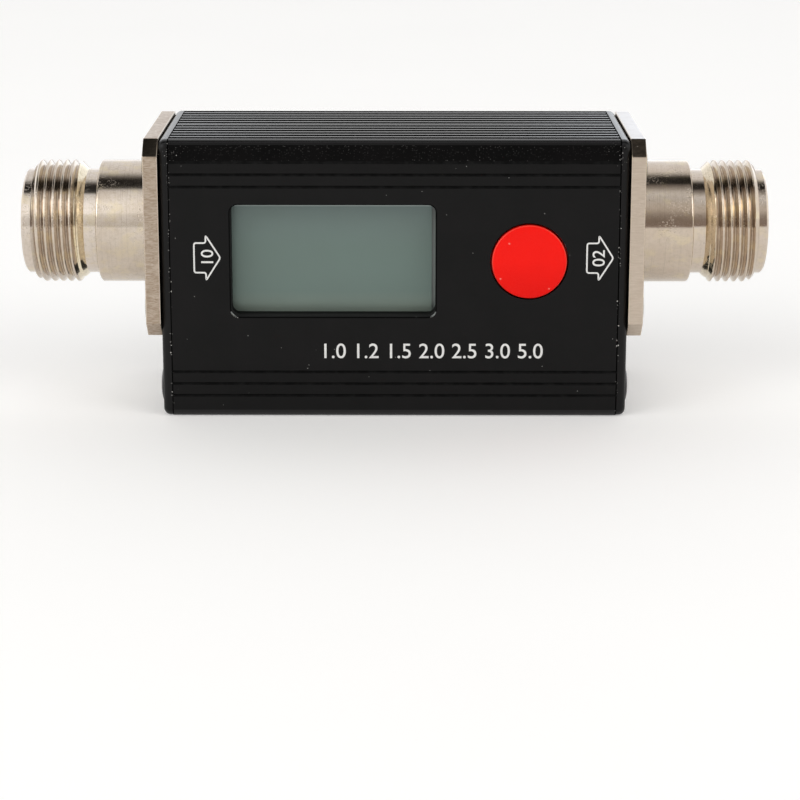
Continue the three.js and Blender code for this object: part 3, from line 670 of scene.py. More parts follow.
def plain(name, colour, roughness, grain=0.0002, depth=4e-6, shade=None, **sockets):
    """A plain finish with a fine grain and faint clouding."""
    finish = Finish(name, colour, roughness, **sockets)
    darker = [channel * PLAIN_CLOUD["darker_share"] for channel in finish.colour[:3]]
    cloud = finish.noise({"size": grain * PLAIN_CLOUD["grains"], "detail": PLAIN_CLOUD["detail"]})
    finish.tint(finish.ramp(cloud, PLAIN_CLOUD["stops"]), paint(*shade) if shade else (*darker, 1.0))
    gloss = (roughness - GLOSS_REACH, roughness + GLOSS_REACH)
    finish.lay({"size": grain, "detail": 2, "gloss": gloss, "bump": depth})


# Layered finishes: colour, roughness, metallic and specular level, layers in order

METAL = {"metallic": 1.0}
LIP_LAYERS = (
    {"size": 0.0009, "detail": 4, "rough": 0.65, "tint": (84, 86, 85),
     "stops": ((0.4, 0), (0.66, 0.9)), "gloss": (0.16, 0.34), "bump": 3e-6},
)
CORNER_LAYERS = (
    {"size": (0.0009, 0.0009, 0.00012), "detail": 5, "rough": 0.7, "distortion": 1.2,
     "tint": (66, 60, 53), "stops": ((0.4, 0), (0.6, 0.9)), "gloss": (0.12, 0.26), "bump": 6e-6},
    {"spacing": 0.0007, "size_share": 0.12, "kept_share": 0.3, "tint": (220, 212, 200)},
)
FOIL_LAYERS = (
    {"size": 0.004, "detail": 6, "rough": 0.6, "distortion": 1.0, "tint": (150, 154, 160),
     "stops": ((0.4, 0), (0.75, 0.5)), "gloss": (0.24, 0.44), "bump": 0.00006},
)
BOARD_LAYERS = (
    {"weave": 0.0004, "bump": 6e-6, "strength": 0.4},
    {"size": 0.005, "detail": 4, "tint": (18, 66, 38), "stops": ((0.4, 0), (0.7, 0.6))},
)
# A thin pale line near the top of the display film: a painted highlight.
FILM_PAINTED_HIGHLIGHT = ((0.966, 0.0), (0.969, 0.8), (0.977, 0.8), (0.98, 0.0))
FILM_LAYERS = (
    # Painted light on the display film: lighter towards the bottom, against the shade of the window's lower
    # wall, and lighter towards the top.
    {"up": "lcd_film", "tint": (136, 147, 136), "stops": ((0, 0.9), (0.22, 0))},
    {"up": "lcd_film", "tint": (118, 131, 131), "stops": ((0.6, 0), (1, 0.6))},
    {"up": "lcd_film", "tint": (158, 168, 166), "stops": FILM_PAINTED_HIGHLIGHT},
    {"size": (0.011, 0.011, 0.007), "tint": (108, 121, 115), "stops": ((0.4, 0), (0.75, 0.35))},
    {"size": 0.00006, "detail": 2, "bump": 1.5e-6},
)
RED_LAYERS = (
    {"size": 0.0035, "detail": 4, "tint": (243, 20, 12), "stops": ((0.38, 0), (0.75, 0.5))},
    # Painted shade: the cap's red is darker towards its bottom.
    {"up": "button_cap", "tint": (234, 14, 6), "stops": ((0.12, 0.9), (0.5, 0))},
    {"size": 0.00012, "detail": 2, "gloss": (0.2, 0.36), "bump": 3e-6},
    {"spacing": 0.0012, "size_share": 0.11, "kept_share": 0.35, "tint": (255, 150, 136)},
)
LAYERED = {
    "machined_lip": ((112, 115, 113), 0.24, METAL, LIP_LAYERS),
    # The flange's upper cut corners in a darker copy of the nickel: painted shade.
    "flange_corner_painted_shade": ((104, 95, 84), 0.2, METAL, CORNER_LAYERS),
    "cell_wrap": ((176, 180, 184), 0.32, {"metallic": 0.7}, FOIL_LAYERS),
    "circuit_board": ((24, 84, 46), 0.35, {}, BOARD_LAYERS),
    "lcd_film": ((111, 128, 122), 0.34, {"metallic": 0.45, "specular": 0.25}, FILM_LAYERS),
    "red_cap": ((252, 22, 12), 0.3, {"specular": 0.14}, RED_LAYERS),
    # The cap's rounded rim in a lighter red: a painted highlight.
    "red_cap_rim_painted_highlight": ((255, 78, 64), 0.3, {"specular": 0.14}, RED_LAYERS),
}

# Nickel over brass: turned rings, scuffs, faint tarnish, and brass showing in the thread's roots

NICKEL_LAYERS = (
    {"size": (0.004, 0.003, 0.003), "detail": 5, "rough": 0.6, "tint": (198, 183, 166),
     "stops": ((0.38, 0), (0.72, 0.8))},
    {"size": 0.0016, "detail": 4, "tint": (138, 120, 104), "stops": ((0.3, 0.1), (0.65, 0.5)),
     "where": "roots"},
    {"tint": (246, 235, 208), "share": 0.85, "where": "run_out"},
    {"tint": (218, 207, 196), "share": 0.8, "where": "neck"},
    {"tint": (218, 207, 197), "share": 0.6, "where": "lip"},
    {"tint": (188, 168, 147), "share": 0.32, "where": "output_side"},
    {"size": (0.00007, 0.012, 0.012), "tint": (172, 158, 143), "stops": ((0.54, 0), (0.72, 0.45)),
     "bump": 1.6e-6},
    {"size": (0.0012, 0.0012, 0.00035), "detail": 6, "rough": 0.7, "gloss": (0.05, 0.19),
     "bump": 3e-6, "strength": 0.6},
    {"size": (0.0005, 0.0004, 0.0004), "detail": 6, "rough": 0.75, "tint": (184, 170, 150),
     "stops": ((0.48, 0), (0.66, 0.55)), "bump": 2.5e-6, "strength": 0.6},
    {"size": (0.0021, 0.0017, 0.0017), "tint": (214, 199, 168), "stops": ((0.52, 0), (0.66, 0.5))},
    {"spacing": 0.0009, "size_share": 0.07, "kept_share": 0.25, "tint": (70, 62, 54)},
)
PITS = {"size": 0.00024, "detail": 2, "stops": ((0.34, 0), (0.42, 1)), "depth": 0.000014, "strength": 0.8}
UNPITTED = {"size": (0.0034, 0.0028, 0.0028), "stops": ((0.4, 0), (0.48, 1))}
MILLED_STREAKS = {"size": (0.0016, 0.0016, 0.00016), "detail": 5, "rough": 0.65, "distortion": 0.9}
MILLED_LAYERS = (
    {**MILLED_STREAKS, "tint": (178, 161, 142), "stops": ((0.35, 0), (0.7, 0.6)), "gloss": (0.24, 0.44)},
    {"size": (0.0011, 0.0011, 0.00024), "detail": 4, "rough": 0.6, "distortion": 1.6,
     "tint": (156, 136, 116), "stops": ((0.4, 0.25), (0.62, 1)), "share": 0.85, "where": "rougher",
     "bump": 0.00003},
    # The top of the output side's flange in a paler, bluer tone: a painted highlight.
    {"tint": (216, 217, 220), "share": 0.75, "where": "painted_highlight_top"},
    {**MILLED_STREAKS, "bump": 0.000012},
    {"size": (0.0009, 0.0009, 0.0006), "detail": 4, "bump": 0.000014, "strength": 0.5},
    {"spacing": 0.0008, "size_share": 0.14, "kept_share": 0.3, "tint": (236, 230, 222)},
)


def layered(name, colour, roughness, sockets, layers, masks=None):
    finish = Finish(name, colour, roughness, **sockets)
    if masks:
        finish.masks = masks(finish)
    for layer in layers:
        finish.lay(layer)
    return finish


def nickel_masks(finish):
    """The thread's roots and run-out, the neck, the lip, and all of the output side."""
    x, y, z = finish.axes(finish.at)
    along = finish.maths("ABSOLUTE", x)
    rise = finish.maths("SUBTRACT", z, AXIS_HEIGHT)
    distance = finish.maths("SQRT", finish.maths("ADD", finish.product(y, y), finish.product(rise, rise)))
    past = finish.above(along, SHELL_END + NECK_END)
    outside = finish.above(distance, Socket.neck_radius - Socket.clearance)
    threaded = finish.product(outside, past, finish.below(along, SHELL_END + THREAD_END))
    deep = finish.below(distance, Socket.thread_radius - THREAD_DEPTH * ROOT_SHARE)
    early = finish.below(along, SHELL_END + NECK_END + Socket.taper_length)
    beyond = finish.above(along, SHELL_END + COLLAR_END)
    return {
        "roots": finish.product(deep, threaded),
        "run_out": finish.product(early, threaded),
        "neck": finish.product(beyond, finish.below(along, SHELL_END + NECK_END)),
        "lip": finish.above(along, SHELL_END + THREAD_END),
        "output_side": finish.above(x, 0.0),
    }


def milled_masks(finish):
    """The input side's rougher flange, and the top of the output side's, paler for a painted highlight."""
    x, _, z = finish.axes(finish.at)
    top = finish.above(z, body_high.z - FLANGE_EDGE)
    return {"rougher": finish.below(x, 0.0), "painted_highlight_top": finish.product(top, finish.above(x, 0.0))}


for name, row in ANODISED.items():
    anodised(name, *row)
for name, row in WORN.items():
    worn(name, *row)
for name, (colour, roughness, others) in PLAIN.items():
    plain(name, colour, roughness, **others)
for name, row in LAYERED.items():
    layered(name, *row)
finishes["shell_strip_painted_shade"].lay(SPARKLE)
for name in CHIPPED:
    chip_seam(finishes[name])
layered("milled_nickel", (205, 191, 176), 0.34, METAL, MILLED_LAYERS, milled_masks)
nickel = layered("nickel", (211, 199, 186), 0.14, METAL, NICKEL_LAYERS, nickel_masks)
pits, unpitted = (nickel.ramp(nickel.noise(layer), layer["stops"]) for layer in (PITS, UNPITTED))
nickel.bump(nickel.maths("MAXIMUM", pits, unpitted), PITS["depth"], PITS["strength"])

for part in frame["record"]["subparts"]:
    node = frame["nodes"][part["node"]]
    node.data.materials.clear()
    node.data.materials.append(finishes[part["material_slot"]].material)


# The box: two ribbed shells, two end plates, and the frame round the display

SHELL_LOOKS = ["anodised_shell", "shell_edge_wear_and_highlight", "machined_lip", "shell_strip_painted_shade", "shell_top", "shell_rim_painted_highlight"]
SHELL_LOOKS += ["shell_land_painted_highlight", "shell_foot_painted_sheen", "groove_shadow", "window_edge", "window_wall", "seam_shadow"]
PLATE_LOOKS = ["end_plate", "end_plate_edge_wear_and_highlight", "end_plate_top_painted_highlight", "seam_shadow"]
EASED_NODES = {
    "lcd_frame": "black_plastic",
    "lcd_glass": "lcd_glass",
    "charging_socket_shell": "tinned_steel",
    "charging_socket_tongue": "black_plastic",
}


def drawn_in(mesh, side):
    """Leans the strip above the first groove back a little, and eases the face's shallow grooves."""
    face = side * shell_low.y
    for end in (-1, 1):
        bmesh.ops.bisect_plane(
            mesh,
            geom=[*mesh.verts, *mesh.edges, *mesh.faces],
            dist=WELD,
            plane_co=(end * (SHELL_END - SEAM_WIDTH), 0, 0),
            plane_no=(1, 0, 0),
        )
    for vert in mesh.verts:
        depth = side * (vert.co.y - face)
        between = LEAN_REACH < vert.co.z < shell_high.z - LEAN_REACH
        if abs(depth - GROOVE_DEPTH) < NEARLY and between:
            vert.co.y += side * (GROOVE_SEEN_DEPTH - GROOVE_DEPTH)
        elif depth < LEAN_REACH and vert.co.z > LEAN_START:
            vert.co.y += side * (vert.co.z - LEAN_START) * LEAN_SLOPE
    return mesh


def within_window(point, margin):
    """Tells a point that is across and up within the window, or past it by no more than a margin."""
    across = Window.left - margin < point.x < Window.right + margin
    return across and Window.bottom - margin < point.z < Window.top + margin


def on_window_lip(point):
    return abs(point.y - FRONT_FACE) <= WELD and within_window(point, Window.lip)


def in_groove(face, middle, side):
    """Tells the shallow grooves of the outer face, with their edges, from its flats."""
    depth = side * middle.y - shell_low.y
    below = LEAN_REACH < middle.z < Window.bottom - Window.corner
    above = Window.top + Window.corner < middle.z < GROOVE_TOP
    inside = face.material_index or depth > GROOVE_START
    return (below or above) and depth < GROOVE_DEPTH + WELD and inside


def shell_look(face, side):
    """Names the finish of one face of a shell."""
    look = SHELL_LOOKS[face.material_index]
    middle = face.calc_center_median()
    if look == "machined_lip":
        low = middle.z < Window.bottom + Window.corner
        beside = min(middle.x - Window.left, Window.right - middle.x) < Window.corner
        return look if low and beside else "window_edge"
    on_edge = face.material_index > 0
    outward = -side * face.normal.y
    upper = middle.z > LEAN_START
    lower = middle.z < shell_high.z - LEAN_START
    in_wall = within_window(middle, WELD) and Window.lip < middle.y - FRONT_FACE < Window.depth
    tests = (
        (on_edge and abs(middle.x) > SHELL_END - SEAM_REACH, "seam_shadow"),
        (in_groove(face, middle, side), "groove_shadow"),
        (on_edge, look),
        (abs(middle.x) > SHELL_END - SEAM_WIDTH, "seam_shadow"),
        (in_wall, "window_wall"),
        (face.normal.z > FLAT_TURN and abs(middle.y) < LAST_LAND, "shell_top"),
        # Painted light: the land and rim finishes are lighter copies, a painted highlight; the strip is a
        # darker copy, painted shade; the foot is a lighter copy, a painted sheen.
        (face.normal.z > LAND_TURN and upper, "shell_land_painted_highlight"),
        (face.normal.z > RIM_TURN and upper, "shell_rim_painted_highlight"),
        (outward > STRIP_TURN and upper, "shell_strip_painted_shade"),
        (FOOT_TURN < outward < FLAT_TURN and lower, "shell_foot_painted_sheen"),
    )
    return next((name for fits, name in tests if fits), look)


def plate_look(face):
    """Names the finish of one face of an end plate."""
    look = PLATE_LOOKS[face.material_index]
    if face.material_index:
        return "seam_shadow" if abs(face.calc_center_median().x) < SHELL_END + SEAM_REACH else look
    # A lighter, glossier copy on the plate's top: a painted highlight.
    return "end_plate_top_painted_highlight" if face.normal.z > RIM_TURN else look


front_mesh = drawn_in(node_copy("front_shell"), 1)
lip_edges = [edge for edge in front_mesh.edges if all(on_window_lip(vert.co) for vert in edge.verts)]
eased(front_mesh, Window.lip, 1, SHELL_LOOKS.index("machined_lip"), lip_edges)
rear_mesh = drawn_in(node_copy("rear_shell"), -1)
for node, side, mesh in (("front_shell", 1, front_mesh), ("rear_shell", -1, rear_mesh)):
    eased(mesh, SHELL_EDGE)
    for face in mesh.faces:
        face.material_index = SHELL_LOOKS.index(shell_look(face, side))
    piece(f"{node}_eased", mesh, SHELL_LOOKS, node)
for node in ("in_end_plate", "out_end_plate"):
    mesh = eased(node_copy(node), PLATE_EDGE)
    for face in mesh.faces:
        face.material_index = PLATE_LOOKS.index(plate_look(face))
    piece(f"{node}_eased", mesh, PLATE_LOOKS, node)
for node, slot in EASED_NODES.items():
    piece(f"{node}_eased", eased(node_copy(node), SMALL_EDGE), (slot, slot), node)


# The sockets: a turned barrel with a true thread, on a milled square flange


def thread_height(phase):
    """The height of the thread's flank at a place within one turn, as a share of its depth."""
    turn = phase % 1.0
    for (start, before), (end, after) in zip(FLANK_SHARES, FLANK_SHARES[1:]):
        if turn <= end:
            return before + (after - before) * ((turn - start) / (end - start))
    return 0.0


def thread_radius(along, angle):
    """The radius of the thread, which is cut into an outline that tapers at both ends."""
    taper = (along - NECK_END) / Socket.taper_length
    rising = Socket.neck_radius + (Socket.thread_radius - Socket.neck_radius) * taper
    falling = Socket.thread_radius - Socket.thread_chamfer + (THREAD_END - along)
    phase = (along - NECK_END) / THREAD_PITCH - angle / math.tau
    root = Socket.thread_radius - THREAD_DEPTH
    return min(Socket.thread_radius, rising, falling, root + THREAD_DEPTH * thread_height(phase))


def barrel():
    """The turned body, as rows of points that follow the helix where there is a thread."""
    bore = Socket.bore_radius
    bore_floor = SOCKET_TIP - Socket.bore_depth
    inside_flange = PLATE_OUTER + FLANGE_THICKNESS / 2
    before = [
        (-Socket.spigot_reach, Socket.insulator_radius), (-Socket.spigot_reach, Socket.spigot_radius),
        (inside_flange, Socket.spigot_radius), (inside_flange, Socket.thread_radius),
        *quarter_round(COLLAR_END, Socket.thread_radius, Socket.collar_round, Socket.round_steps),
        (COLLAR_END, Socket.neck_radius), (NECK_END, Socket.neck_radius),
    ]
    after = [
        (THREAD_END, Socket.neck_radius), (SOCKET_TIP - Socket.lip_chamfer, Socket.neck_radius),
        (SOCKET_TIP, Socket.neck_radius - Socket.lip_chamfer), (SOCKET_TIP, bore + Socket.bore_chamfer),
        (SOCKET_TIP - Socket.bore_chamfer, bore), (bore_floor, bore),
        (bore_floor, Socket.insulator_radius), before[0],
    ]
    turns = math.ceil((THREAD_END - NECK_END) / THREAD_PITCH) + 1
    places = [turn - 1 + share for turn in range(turns + 1) for share, _ in FLANK_SHARES[1:]]
    mesh = bmesh.new()
    columns = []
    for i in range(ROUND_SIDES + 1):
        angle = math.tau * i / ROUND_SIDES
        rows = list(before)
        for place in places:
            along = NECK_END + THREAD_PITCH * (place + i / ROUND_SIDES)
            along = min(max(along, NECK_END), THREAD_END)
            rows.append((along, thread_radius(along, angle)))
        columns.append([mesh.verts.new(around(x, radius, angle)) for x, radius in rows + after])
    for left, right in zip(columns, columns[1:]):
        for j in range(len(left) - 1):
            mesh.faces.new((left[j], right[j], right[j + 1], left[j + 1]))
    return cleaned(mesh)


def screw_cone():
    """The room for a countersunk screw whose head is flush with the flange."""
    hole = Screw.radius + Screw.clearance
    seat = Screw.head_radius + Screw.clearance
    wide = seat + Screw.head_radius - Screw.radius
    start, end = FLANGE_OUTER - FLANGE_THICKNESS * 2, FLANGE_OUTER + Screw.head_depth
    neck = FLANGE_OUTER - Screw.head_depth
    profile = [(start, 0), (start, hole), (neck, hole), (FLANGE_OUTER, seat), (end, wide), (end, 0)]
    return turned(profile, SMALL_SIDES)


def square_flange():
    """The flange with its middle open and four screw holes, its upper cut corners a darker finish of their
    own: painted shade.
    """
    half = FLANGE_SIZE / 2
    near = half - FLANGE_CORNER
    outline = []
    corner = [(half, near), (near, half)]
    for _ in range(4):
        outline += corner
        corner = [(-z, y) for y, z in corner]
    blank = eased(prism(outline, PLATE_OUTER, FLANGE_OUTER), FLANGE_EDGE)
    for face in blank.faces:
        lean = max(abs(face.normal.y), abs(face.normal.z))
        if lean > math.cos(SOFT_EDGE_ANGLE / 2):
            face.material_index = 1
        elif abs(face.normal.x) < WELD:
            # Upper cut corners take the darker finish: painted shade.
            face.material_index = 2 if face.normal.z > 0 else 1
        else:
            face.material_index = 0
    middle = (Socket.insulator_radius + Socket.spigot_radius) / 2
    tools = [turned([(0, 0), (0, middle), (FLANGE_OUTER * 2, middle), (FLANGE_OUTER * 2, 0)], ROUND_SIDES)]
    for place in ("front_upper", "front_lower", "rear_upper", "rear_lower"):
        low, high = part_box(f"out_flange_screw_{place}")
        centre = (low + high) / 2
        tools.append(placed(screw_cone(), Matrix.Translation((0, centre.y, centre.z - AXIS_HEIGHT))))
    return combined(blank, tools, "DIFFERENCE")


def insulator():
    far = insulator_high.x - SHELL_END
    outer = insulator_high.y
    inner = Contact.radius + Socket.clearance
    start = (INSULATOR_START, inner)
    return turned([start, (INSULATOR_START, outer), (far, outer), (far, inner), start], ROUND_SIDES)


def centre_contact():
    """The centre contact: a tail, a round tip, and a hollow slotted into four fingers."""
    tip = contact_high.x - SHELL_END
    tail_end = INSULATOR_START - Contact.tail_reach
    hole_floor = tip - Contact.hole_depth
    profile = [
        (tail_end, 0), (tail_end, Contact.tail_radius), (INSULATOR_START, Contact.tail_radius),
        (INSULATOR_START, Contact.radius),
        *quarter_round(tip, Contact.radius, Contact.tip_round, Contact.round_steps),
        (tip, Contact.hole_radius), (hole_floor, Contact.hole_radius), (hole_floor, 0),
    ]
    outline = rectangle(Contact.radius * 2, Contact.slot_width / 2)
    slot = prism(outline, tip - Contact.slot_length, tip * 2)
    return combined(turned(profile, SMALL_SIDES), [slot, placed(slot, UPRIGHT)], "DIFFERENCE")


body_mesh = combined(square_flange(), [barrel()], "UNION")
body_looks = ("nickel", "milled_nickel", "flange_corner_painted_shade")
for part, form, slot, mesh, looks, sharp in (
    ("body", "threaded", "nickel", body_mesh, body_looks, SOCKET_SHARP_ANGLE),
    ("insulator", "turned", "ptfe", insulator(), ("ptfe", "ptfe"), SHARP_ANGLE),
    ("contact", "slotted", "contact", centre_contact(), ("contact", "contact"), SHARP_ANGLE),
):
    for end, matrix in (("out", OUT_END), ("in", IN_END)):
        node = f"{end}_socket_{part}"
        piece(f"{node}_{form}", placed(mesh, matrix), looks, node, sharp=sharp)


# The screws: raised countersunk heads with a tapered cross recess


def recess_blade():
    """One arm pair of the cross recess, narrower at its floor."""
    outline = rectangle(Screw.recess_reach, Screw.recess_width / 2)
    floor = Screw.dome_height - Screw.recess_depth
    mesh = bmesh.new()
    for along, scale in ((floor, Screw.recess_floor_share), (0.0, 1.0), (Screw.dome_height * 2, 1.0)):
        for y, z in outline:
            mesh.verts.new((along, y * scale, z * scale))
    bmesh.ops.convex_hull(mesh, input=mesh.verts)
    return cleaned(mesh)


def screw_mesh(length):
    profile = [
        (-length, 0), (-length, Screw.radius - Screw.point), (Screw.point - length, Screw.radius),
        (-Screw.head_depth, Screw.radius), (-SMALL_EDGE, Screw.head_radius),
    ]
    for sine, cosine in quarter_turn(Screw.dome_steps):
        profile.append((Screw.dome_height * sine, Screw.head_radius * cosine))
    blade = recess_blade()
    return combined(turned(profile, SMALL_SIDES), [blade, placed(blade, UPRIGHT)], "DIFFERENCE")


for part in frame["record"]["subparts"]:
    node, slot = part["node"], part["material_slot"]
    if "_screw_" not in node:
        continue
    low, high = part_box(node)
    outward = node.startswith("out_")
    face = high.x - Screw.dome_height if outward else low.x + Screw.dome_height
    turn = Matrix.Rotation(0 if outward else math.pi, 4, "Z")
    twist = Screw.twist_share * low.y / Screw.head_radius + low.z / Screw.head_radius
    seat = Matrix.Translation((face, (low.y + high.y) / 2, (low.z + high.z) / 2))
    mesh = screw_mesh(high.x - low.x - Screw.dome_height)
    bmesh.ops.transform(mesh, matrix=seat @ turn @ Matrix.Rotation(twist, 4, "X"), verts=mesh.verts)
    piece(f"{node}_crossed", mesh, (slot, slot), node)


# The push button's cap


def cap_mesh():
    """The moulded cap, turned about its own axis with its face at zero."""
    back = cap_high.y - cap_low.y
    rim_front = back - Cap.rim_thickness
    inner = Cap.radius - Cap.skirt_wall
    flat = Cap.radius - Cap.edge
    shares = [i / Cap.crown_steps for i in range(Cap.crown_steps + 1)]
    profile = [(Cap.crown * share**2, flat * share) for share in shares]
    for sine, cosine in quarter_turn(Cap.edge_steps)[1:]:
        profile.append((Cap.crown + Cap.edge * (1 - cosine), flat + Cap.edge * sine))
    profile += [
        (rim_front, Cap.radius), (rim_front, Cap.rim_radius), (back, Cap.rim_radius), (back, inner),
        (Cap.skin, inner), (Cap.skin, Cap.hub_radius), (back, Cap.hub_radius),
        (back, Cap.socket_radius), (Cap.web, Cap.socket_radius), (Cap.web, 0),
    ]
    return turned(profile, ROUND_SIDES)


cap_middle = (cap_low + cap_high) / 2
cap_place = Matrix.Translation((cap_middle.x, cap_low.y, cap_middle.z)) @ Matrix.Rotation(math.pi / 2, 4, "Z")
cap_solid = placed(cap_mesh(), cap_place)
# The cap's rounded rim takes a lighter red: a painted highlight.
for face in cap_solid.faces:
    if Cap.edge_turn < -face.normal.y < math.cos(SOFT_EDGE_ANGLE):
        face.material_index = 1
piece("button_cap_moulded", cap_solid, ("red_cap", "red_cap_rim_painted_highlight"), "button_cap", "button")


# Printed marks: two block arrows, their numbers, and a row of scale numbers


def with_sides(points):
    """Each point of an outline with the directions of the sides before and after it."""
    for i, point in enumerate(points):
        following = points[(i + 1) % len(points)]
        yield point, (point - points[i - 1]).normalized(), (following - point).normalized()


def rounded(points):
    """The outline with each corner swept round between two points on its sides."""
    result = []
    shares = [step / Arrow.corner_steps for step in range(Arrow.corner_steps + 1)]
    for point, before, after in with_sides(points):
        near, far = before * Arrow.corner, after * Arrow.corner
        result += [point - near * (1 - share) ** 2 + far * share**2 for share in shares]
    return result


def stroke_ring(points):
    """The two outlines of the arrow's closed line, with mitred corners."""
    inner, outer = [], []
    for point, before, after in with_sides(points):
        normal = Vector((-(before + after).y, (before + after).x)).normalized()
        across = Vector((-before.y, before.x))
        reach = Arrow.stroke / 2 / max(normal.dot(across), Arrow.least_mitre_share)
        inner.append(point + normal * reach)
        outer.append(point - normal * reach)
    return inner, outer


def arrow_mesh():
    """A block arrow's outline, pointing along X from the left of its stem."""
    stem, tip = Arrow.stem_length, Arrow.stem_length + Arrow.head_length
    half, wide = Arrow.stem_height / 2, Arrow.head_height / 2
    corners = ((0, -half), (stem, -half), (stem, -wide), (tip, 0), (stem, wide), (stem, half), (0, half))
    curve = rounded([Vector(corner) for corner in corners])
    mesh = bmesh.new()
    rings = [[mesh.verts.new((point.x, point.y, 0)) for point in ring] for ring in stroke_ring(curve)]
    bridge(mesh, *rings)
    return mesh


def number_mesh(words, size):
    """Plain numbers, centred on their own middle."""
    curve = bpy.data.curves.new("number", "FONT")
    curve.body = words
    curve.size = size
    curve.offset = LETTER_WEIGHT
    curve.align_x = "CENTER"
    curve.align_y = "CENTER"
    mesh = evaluated(linked("number", curve))
    bmesh.ops.remove_doubles(mesh, verts=mesh.verts, dist=WELD)
    return mesh


def mark(name, mesh, turn, x, z):
    """Stands a flat print up on the front face and gives it its thickness."""
    bmesh.ops.recalc_face_normals(mesh, faces=mesh.faces)
    made = bmesh.ops.extrude_face_region(mesh, geom=list(mesh.faces))
    raised = [item for item in made["geom"] if isinstance(item, bmesh.types.BMVert)]
    bmesh.ops.translate(mesh, vec=(0, 0, PRINT_THICKNESS), verts=raised)
    place = Matrix.Translation((x, FRONT_FACE, z))
    bmesh.ops.transform(mesh, matrix=place @ UPRIGHT @ Matrix.Rotation(turn, 4, "Z"), verts=mesh.verts)
    bmesh.ops.recalc_face_normals(mesh, faces=mesh.faces)
    piece(name, mesh, ["print_white"])


for number, (side, left) in enumerate(ARROW_LEFT.items(), start=1):
    turn = -math.pi / 2 if side == "in" else math.pi / 2
    mark(f"{side}_arrow", arrow_mesh(), 0, left, ARROW_HEIGHT)
    digits = number_mesh(f"{number:02d}", ARROW_NUMBER_SIZE)
    mark(f"{side}_number", digits, turn, left + ARROW_NUMBER_PLACE, ARROW_HEIGHT)
for i, words in enumerate(SCALE_NUMBERS):
    x = SCALE_FROM + (SCALE_TO - SCALE_FROM) * i / (len(SCALE_NUMBERS) - 1)
    mark(f"scale_number_{i + 1}", number_mesh(words, SCALE_SIZE), 0, x, SCALE_HEIGHT)


# Floor

FLOOR = {"size": 3.0, "colour": (244, 243, 241), "roughness": 0.75, "specular": 0.2, "lift": 0.19}
PAPER = {"size": 0.05, "tint": (240, 239, 237), "stops": ((0.4, 0), (0.7, 0.3))}

floor_mesh = bmesh.new()
bmesh.ops.create_grid(floor_mesh, x_segments=1, y_segments=1, size=FLOOR["size"] / 2)
floor = plain_object("floor", floor_mesh)
floor_finish = Finish("floor", FLOOR["colour"], FLOOR["roughness"], specular=FLOOR["specular"])
paths = floor_finish.add("LightPath", {})
seen = floor_finish.maths("MAXIMUM", paths["Is Camera Ray"], paths["Is Glossy Ray"])
seen = floor_finish.maths("MAXIMUM", seen, paths["Is Transmission Ray"])
lift = floor_finish.product(seen, FLOOR["lift"])
floor_finish.feed(floor_finish.shader, {"Emission Color": (1.0, 1.0, 1.0, 1.0), "Emission Strength": lift})
floor_finish.lay(PAPER)
floor.data.materials.append(floor_finish.material)

# Light: a tent round the X axis, with a dark gap overhead, its stops at shares of half a turn from ahead

LEFT_STOPS = (
    (0, 0.59, 0.58, 0.56), (0.094, 0.71, 0.7, 0.69), (0.122, 0.8, 0.8, 0.79),
    (0.144, 0.99, 0.99, 0.98), (0.222, 0.99, 0.99, 0.98), (0.267, 0.93), (0.356, 0.73), (0.385, 0.62),
    (0.405, 0.3), (0.416, 0.06, 0.058, 0.055), (0.444, 0.012, 0.011, 0.01), (0.526, 0.012, 0.011, 0.01),
    (0.554, 0.09, 0.085, 0.08), (0.585, 0.27), (0.617, 0.52), (0.65, 0.67), (0.77, 0.72, 0.72, 0.73),
    (0.88, 0.76, 0.76, 0.77), (0.94, 0.95, 0.97, 1),
)
MIDDLE_STOPS = (
    (0, 0.04), (0.1, 0.09), (0.15, 0.18), (0.222, 0.4), (0.3, 0.58), (0.39, 0.56), (0.44, 0.22),
    (0.52, 0.2), (0.6, 0.56), (0.68, 0.76), (1, 0.76),
)
RIGHT_STOPS = (
    (0, 0.235, 0.19, 0.167), (0.072, 0.25, 0.21, 0.185), (0.114, 0.3, 0.265, 0.24),
    (0.14, 0.36, 0.325, 0.3), (0.17, 0.48, 0.445, 0.41), (0.21, 0.53, 0.5, 0.465),
    (0.25, 0.52, 0.5, 0.475), (0.3, 0.52), (0.35, 0.62, 0.63, 0.64), (0.38, 0.54),
    (0.405, 0.38, 0.37, 0.36), (0.43, 0.25, 0.235, 0.225), (0.452, 0.16, 0.145, 0.14),
    (0.466, 0.12, 0.11, 0.105), (0.476, 0.012, 0.011, 0.01), (0.556, 0.012, 0.011, 0.01),
    (0.578, 0.08, 0.075, 0.07), (0.602, 0.28), (0.63, 0.55), (0.66, 0.72, 0.72, 0.73),
    (0.77, 0.76, 0.77, 0.79), (0.88, 0.82, 0.83, 0.86), (0.94, 1.14, 1.19, 1.25),
)
SIDE_STOPS = ((0, 0.9, 0.9, 0.89), (0.6, 1), (1, 0.7))
TENT = {"strength": 1.34, "middle_ends": 0.03, "flanks_start": 0.11, "sides_from": 0.72, "sides_to": 0.95}
LAMP = {"aside": 0.8, "ahead": 0.55, "above": 0.6, "size": 0.65, "power": 2.5}


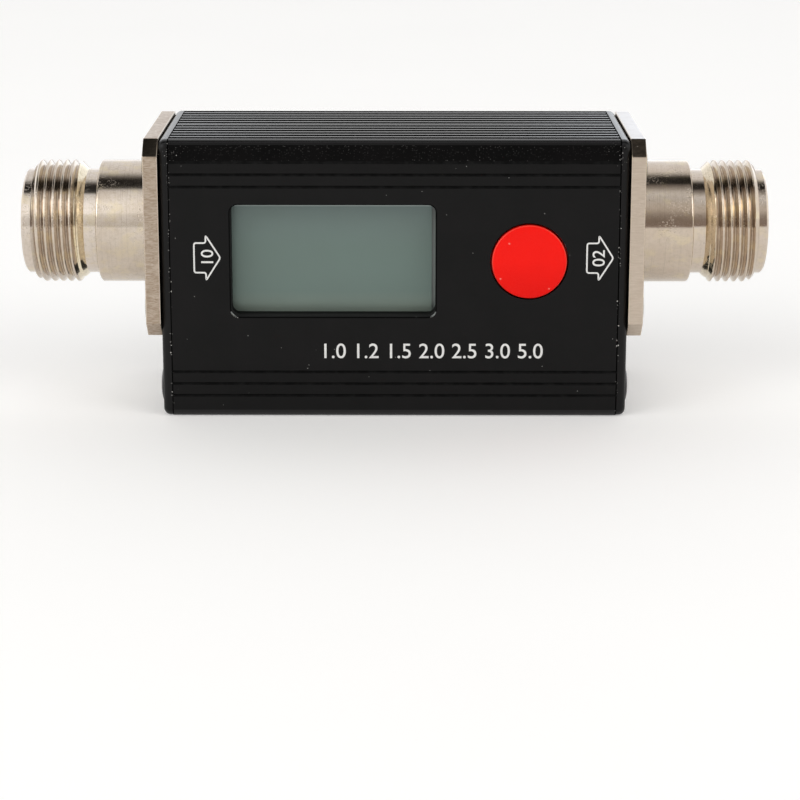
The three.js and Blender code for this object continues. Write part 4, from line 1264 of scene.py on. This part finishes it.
def blend(first, second, value, start, end):
    """One colour of the sky turned into another where a value goes from a start to an end."""
    return sky.mix(sky.span(value, start, end, form="SMOOTHSTEP"), first, second)


world = bpy.data.worlds.new("tent")
bpy.context.scene.world = world
world.use_nodes = True
sky = Nodes(world.node_tree)
x, y, z = sky.axes(sky.add("TexCoord", {})["Generated"])
turn = sky.maths("DIVIDE", sky.maths("ARCTAN2", z, sky.maths("MULTIPLY", y, -1.0)), math.pi)
left, middle, right = (sky.ramp(turn, stops) for stops in (LEFT_STOPS, MIDDLE_STOPS, RIGHT_STOPS))
across = blend(left, middle, x, -TENT["flanks_start"], -TENT["middle_ends"])
across = blend(across, right, x, TENT["middle_ends"], TENT["flanks_start"])
sideways = sky.maths("ABSOLUTE", x)
shade = blend(across, sky.ramp(z, SIDE_STOPS), sideways, TENT["sides_from"], TENT["sides_to"])
sky.feed(world.node_tree.nodes["Background"].inputs, {"Color": shade, "Strength": TENT["strength"]})
for name, side in (("left_lamp", -1), ("right_lamp", 1)):
    lamp = bpy.data.lights.new(name, "AREA")
    lamp.shape = "SQUARE"
    lamp.size = LAMP["size"]
    lamp.energy = LAMP["power"]
    thing = linked(name, lamp)
    thing.location = Vector((side * LAMP["aside"], -LAMP["ahead"], LAMP["above"]))
    thing.rotation_mode = "QUATERNION"
    thing.rotation_quaternion = (Vector((0, 0, AXIS_HEIGHT)) - thing.location).to_track_quat("-Z", "Y")

# Camera

camera_data = bpy.data.cameras.new("camera")
camera_data.lens = CAMERA_LENS
camera_data.sensor_width = CAMERA_SENSOR
camera_data.sensor_fit = "HORIZONTAL"
camera_data.clip_start = CAMERA_NEAREST
camera_data.shift_y = (METER_MIDDLE_ROW - PHOTO_PIXELS / 2) / PHOTO_PIXELS
camera = linked("camera", camera_data)
camera_matrix = Matrix.Translation(CAMERA_PLACE)
for axis, degrees in CAMERA_TURNS:
    camera_matrix @= Matrix.Rotation(math.radians(degrees), 4, axis)
camera.matrix_world = camera_matrix
bpy.context.scene.camera = camera
bpy.context.scene.view_settings.view_transform = "Standard"
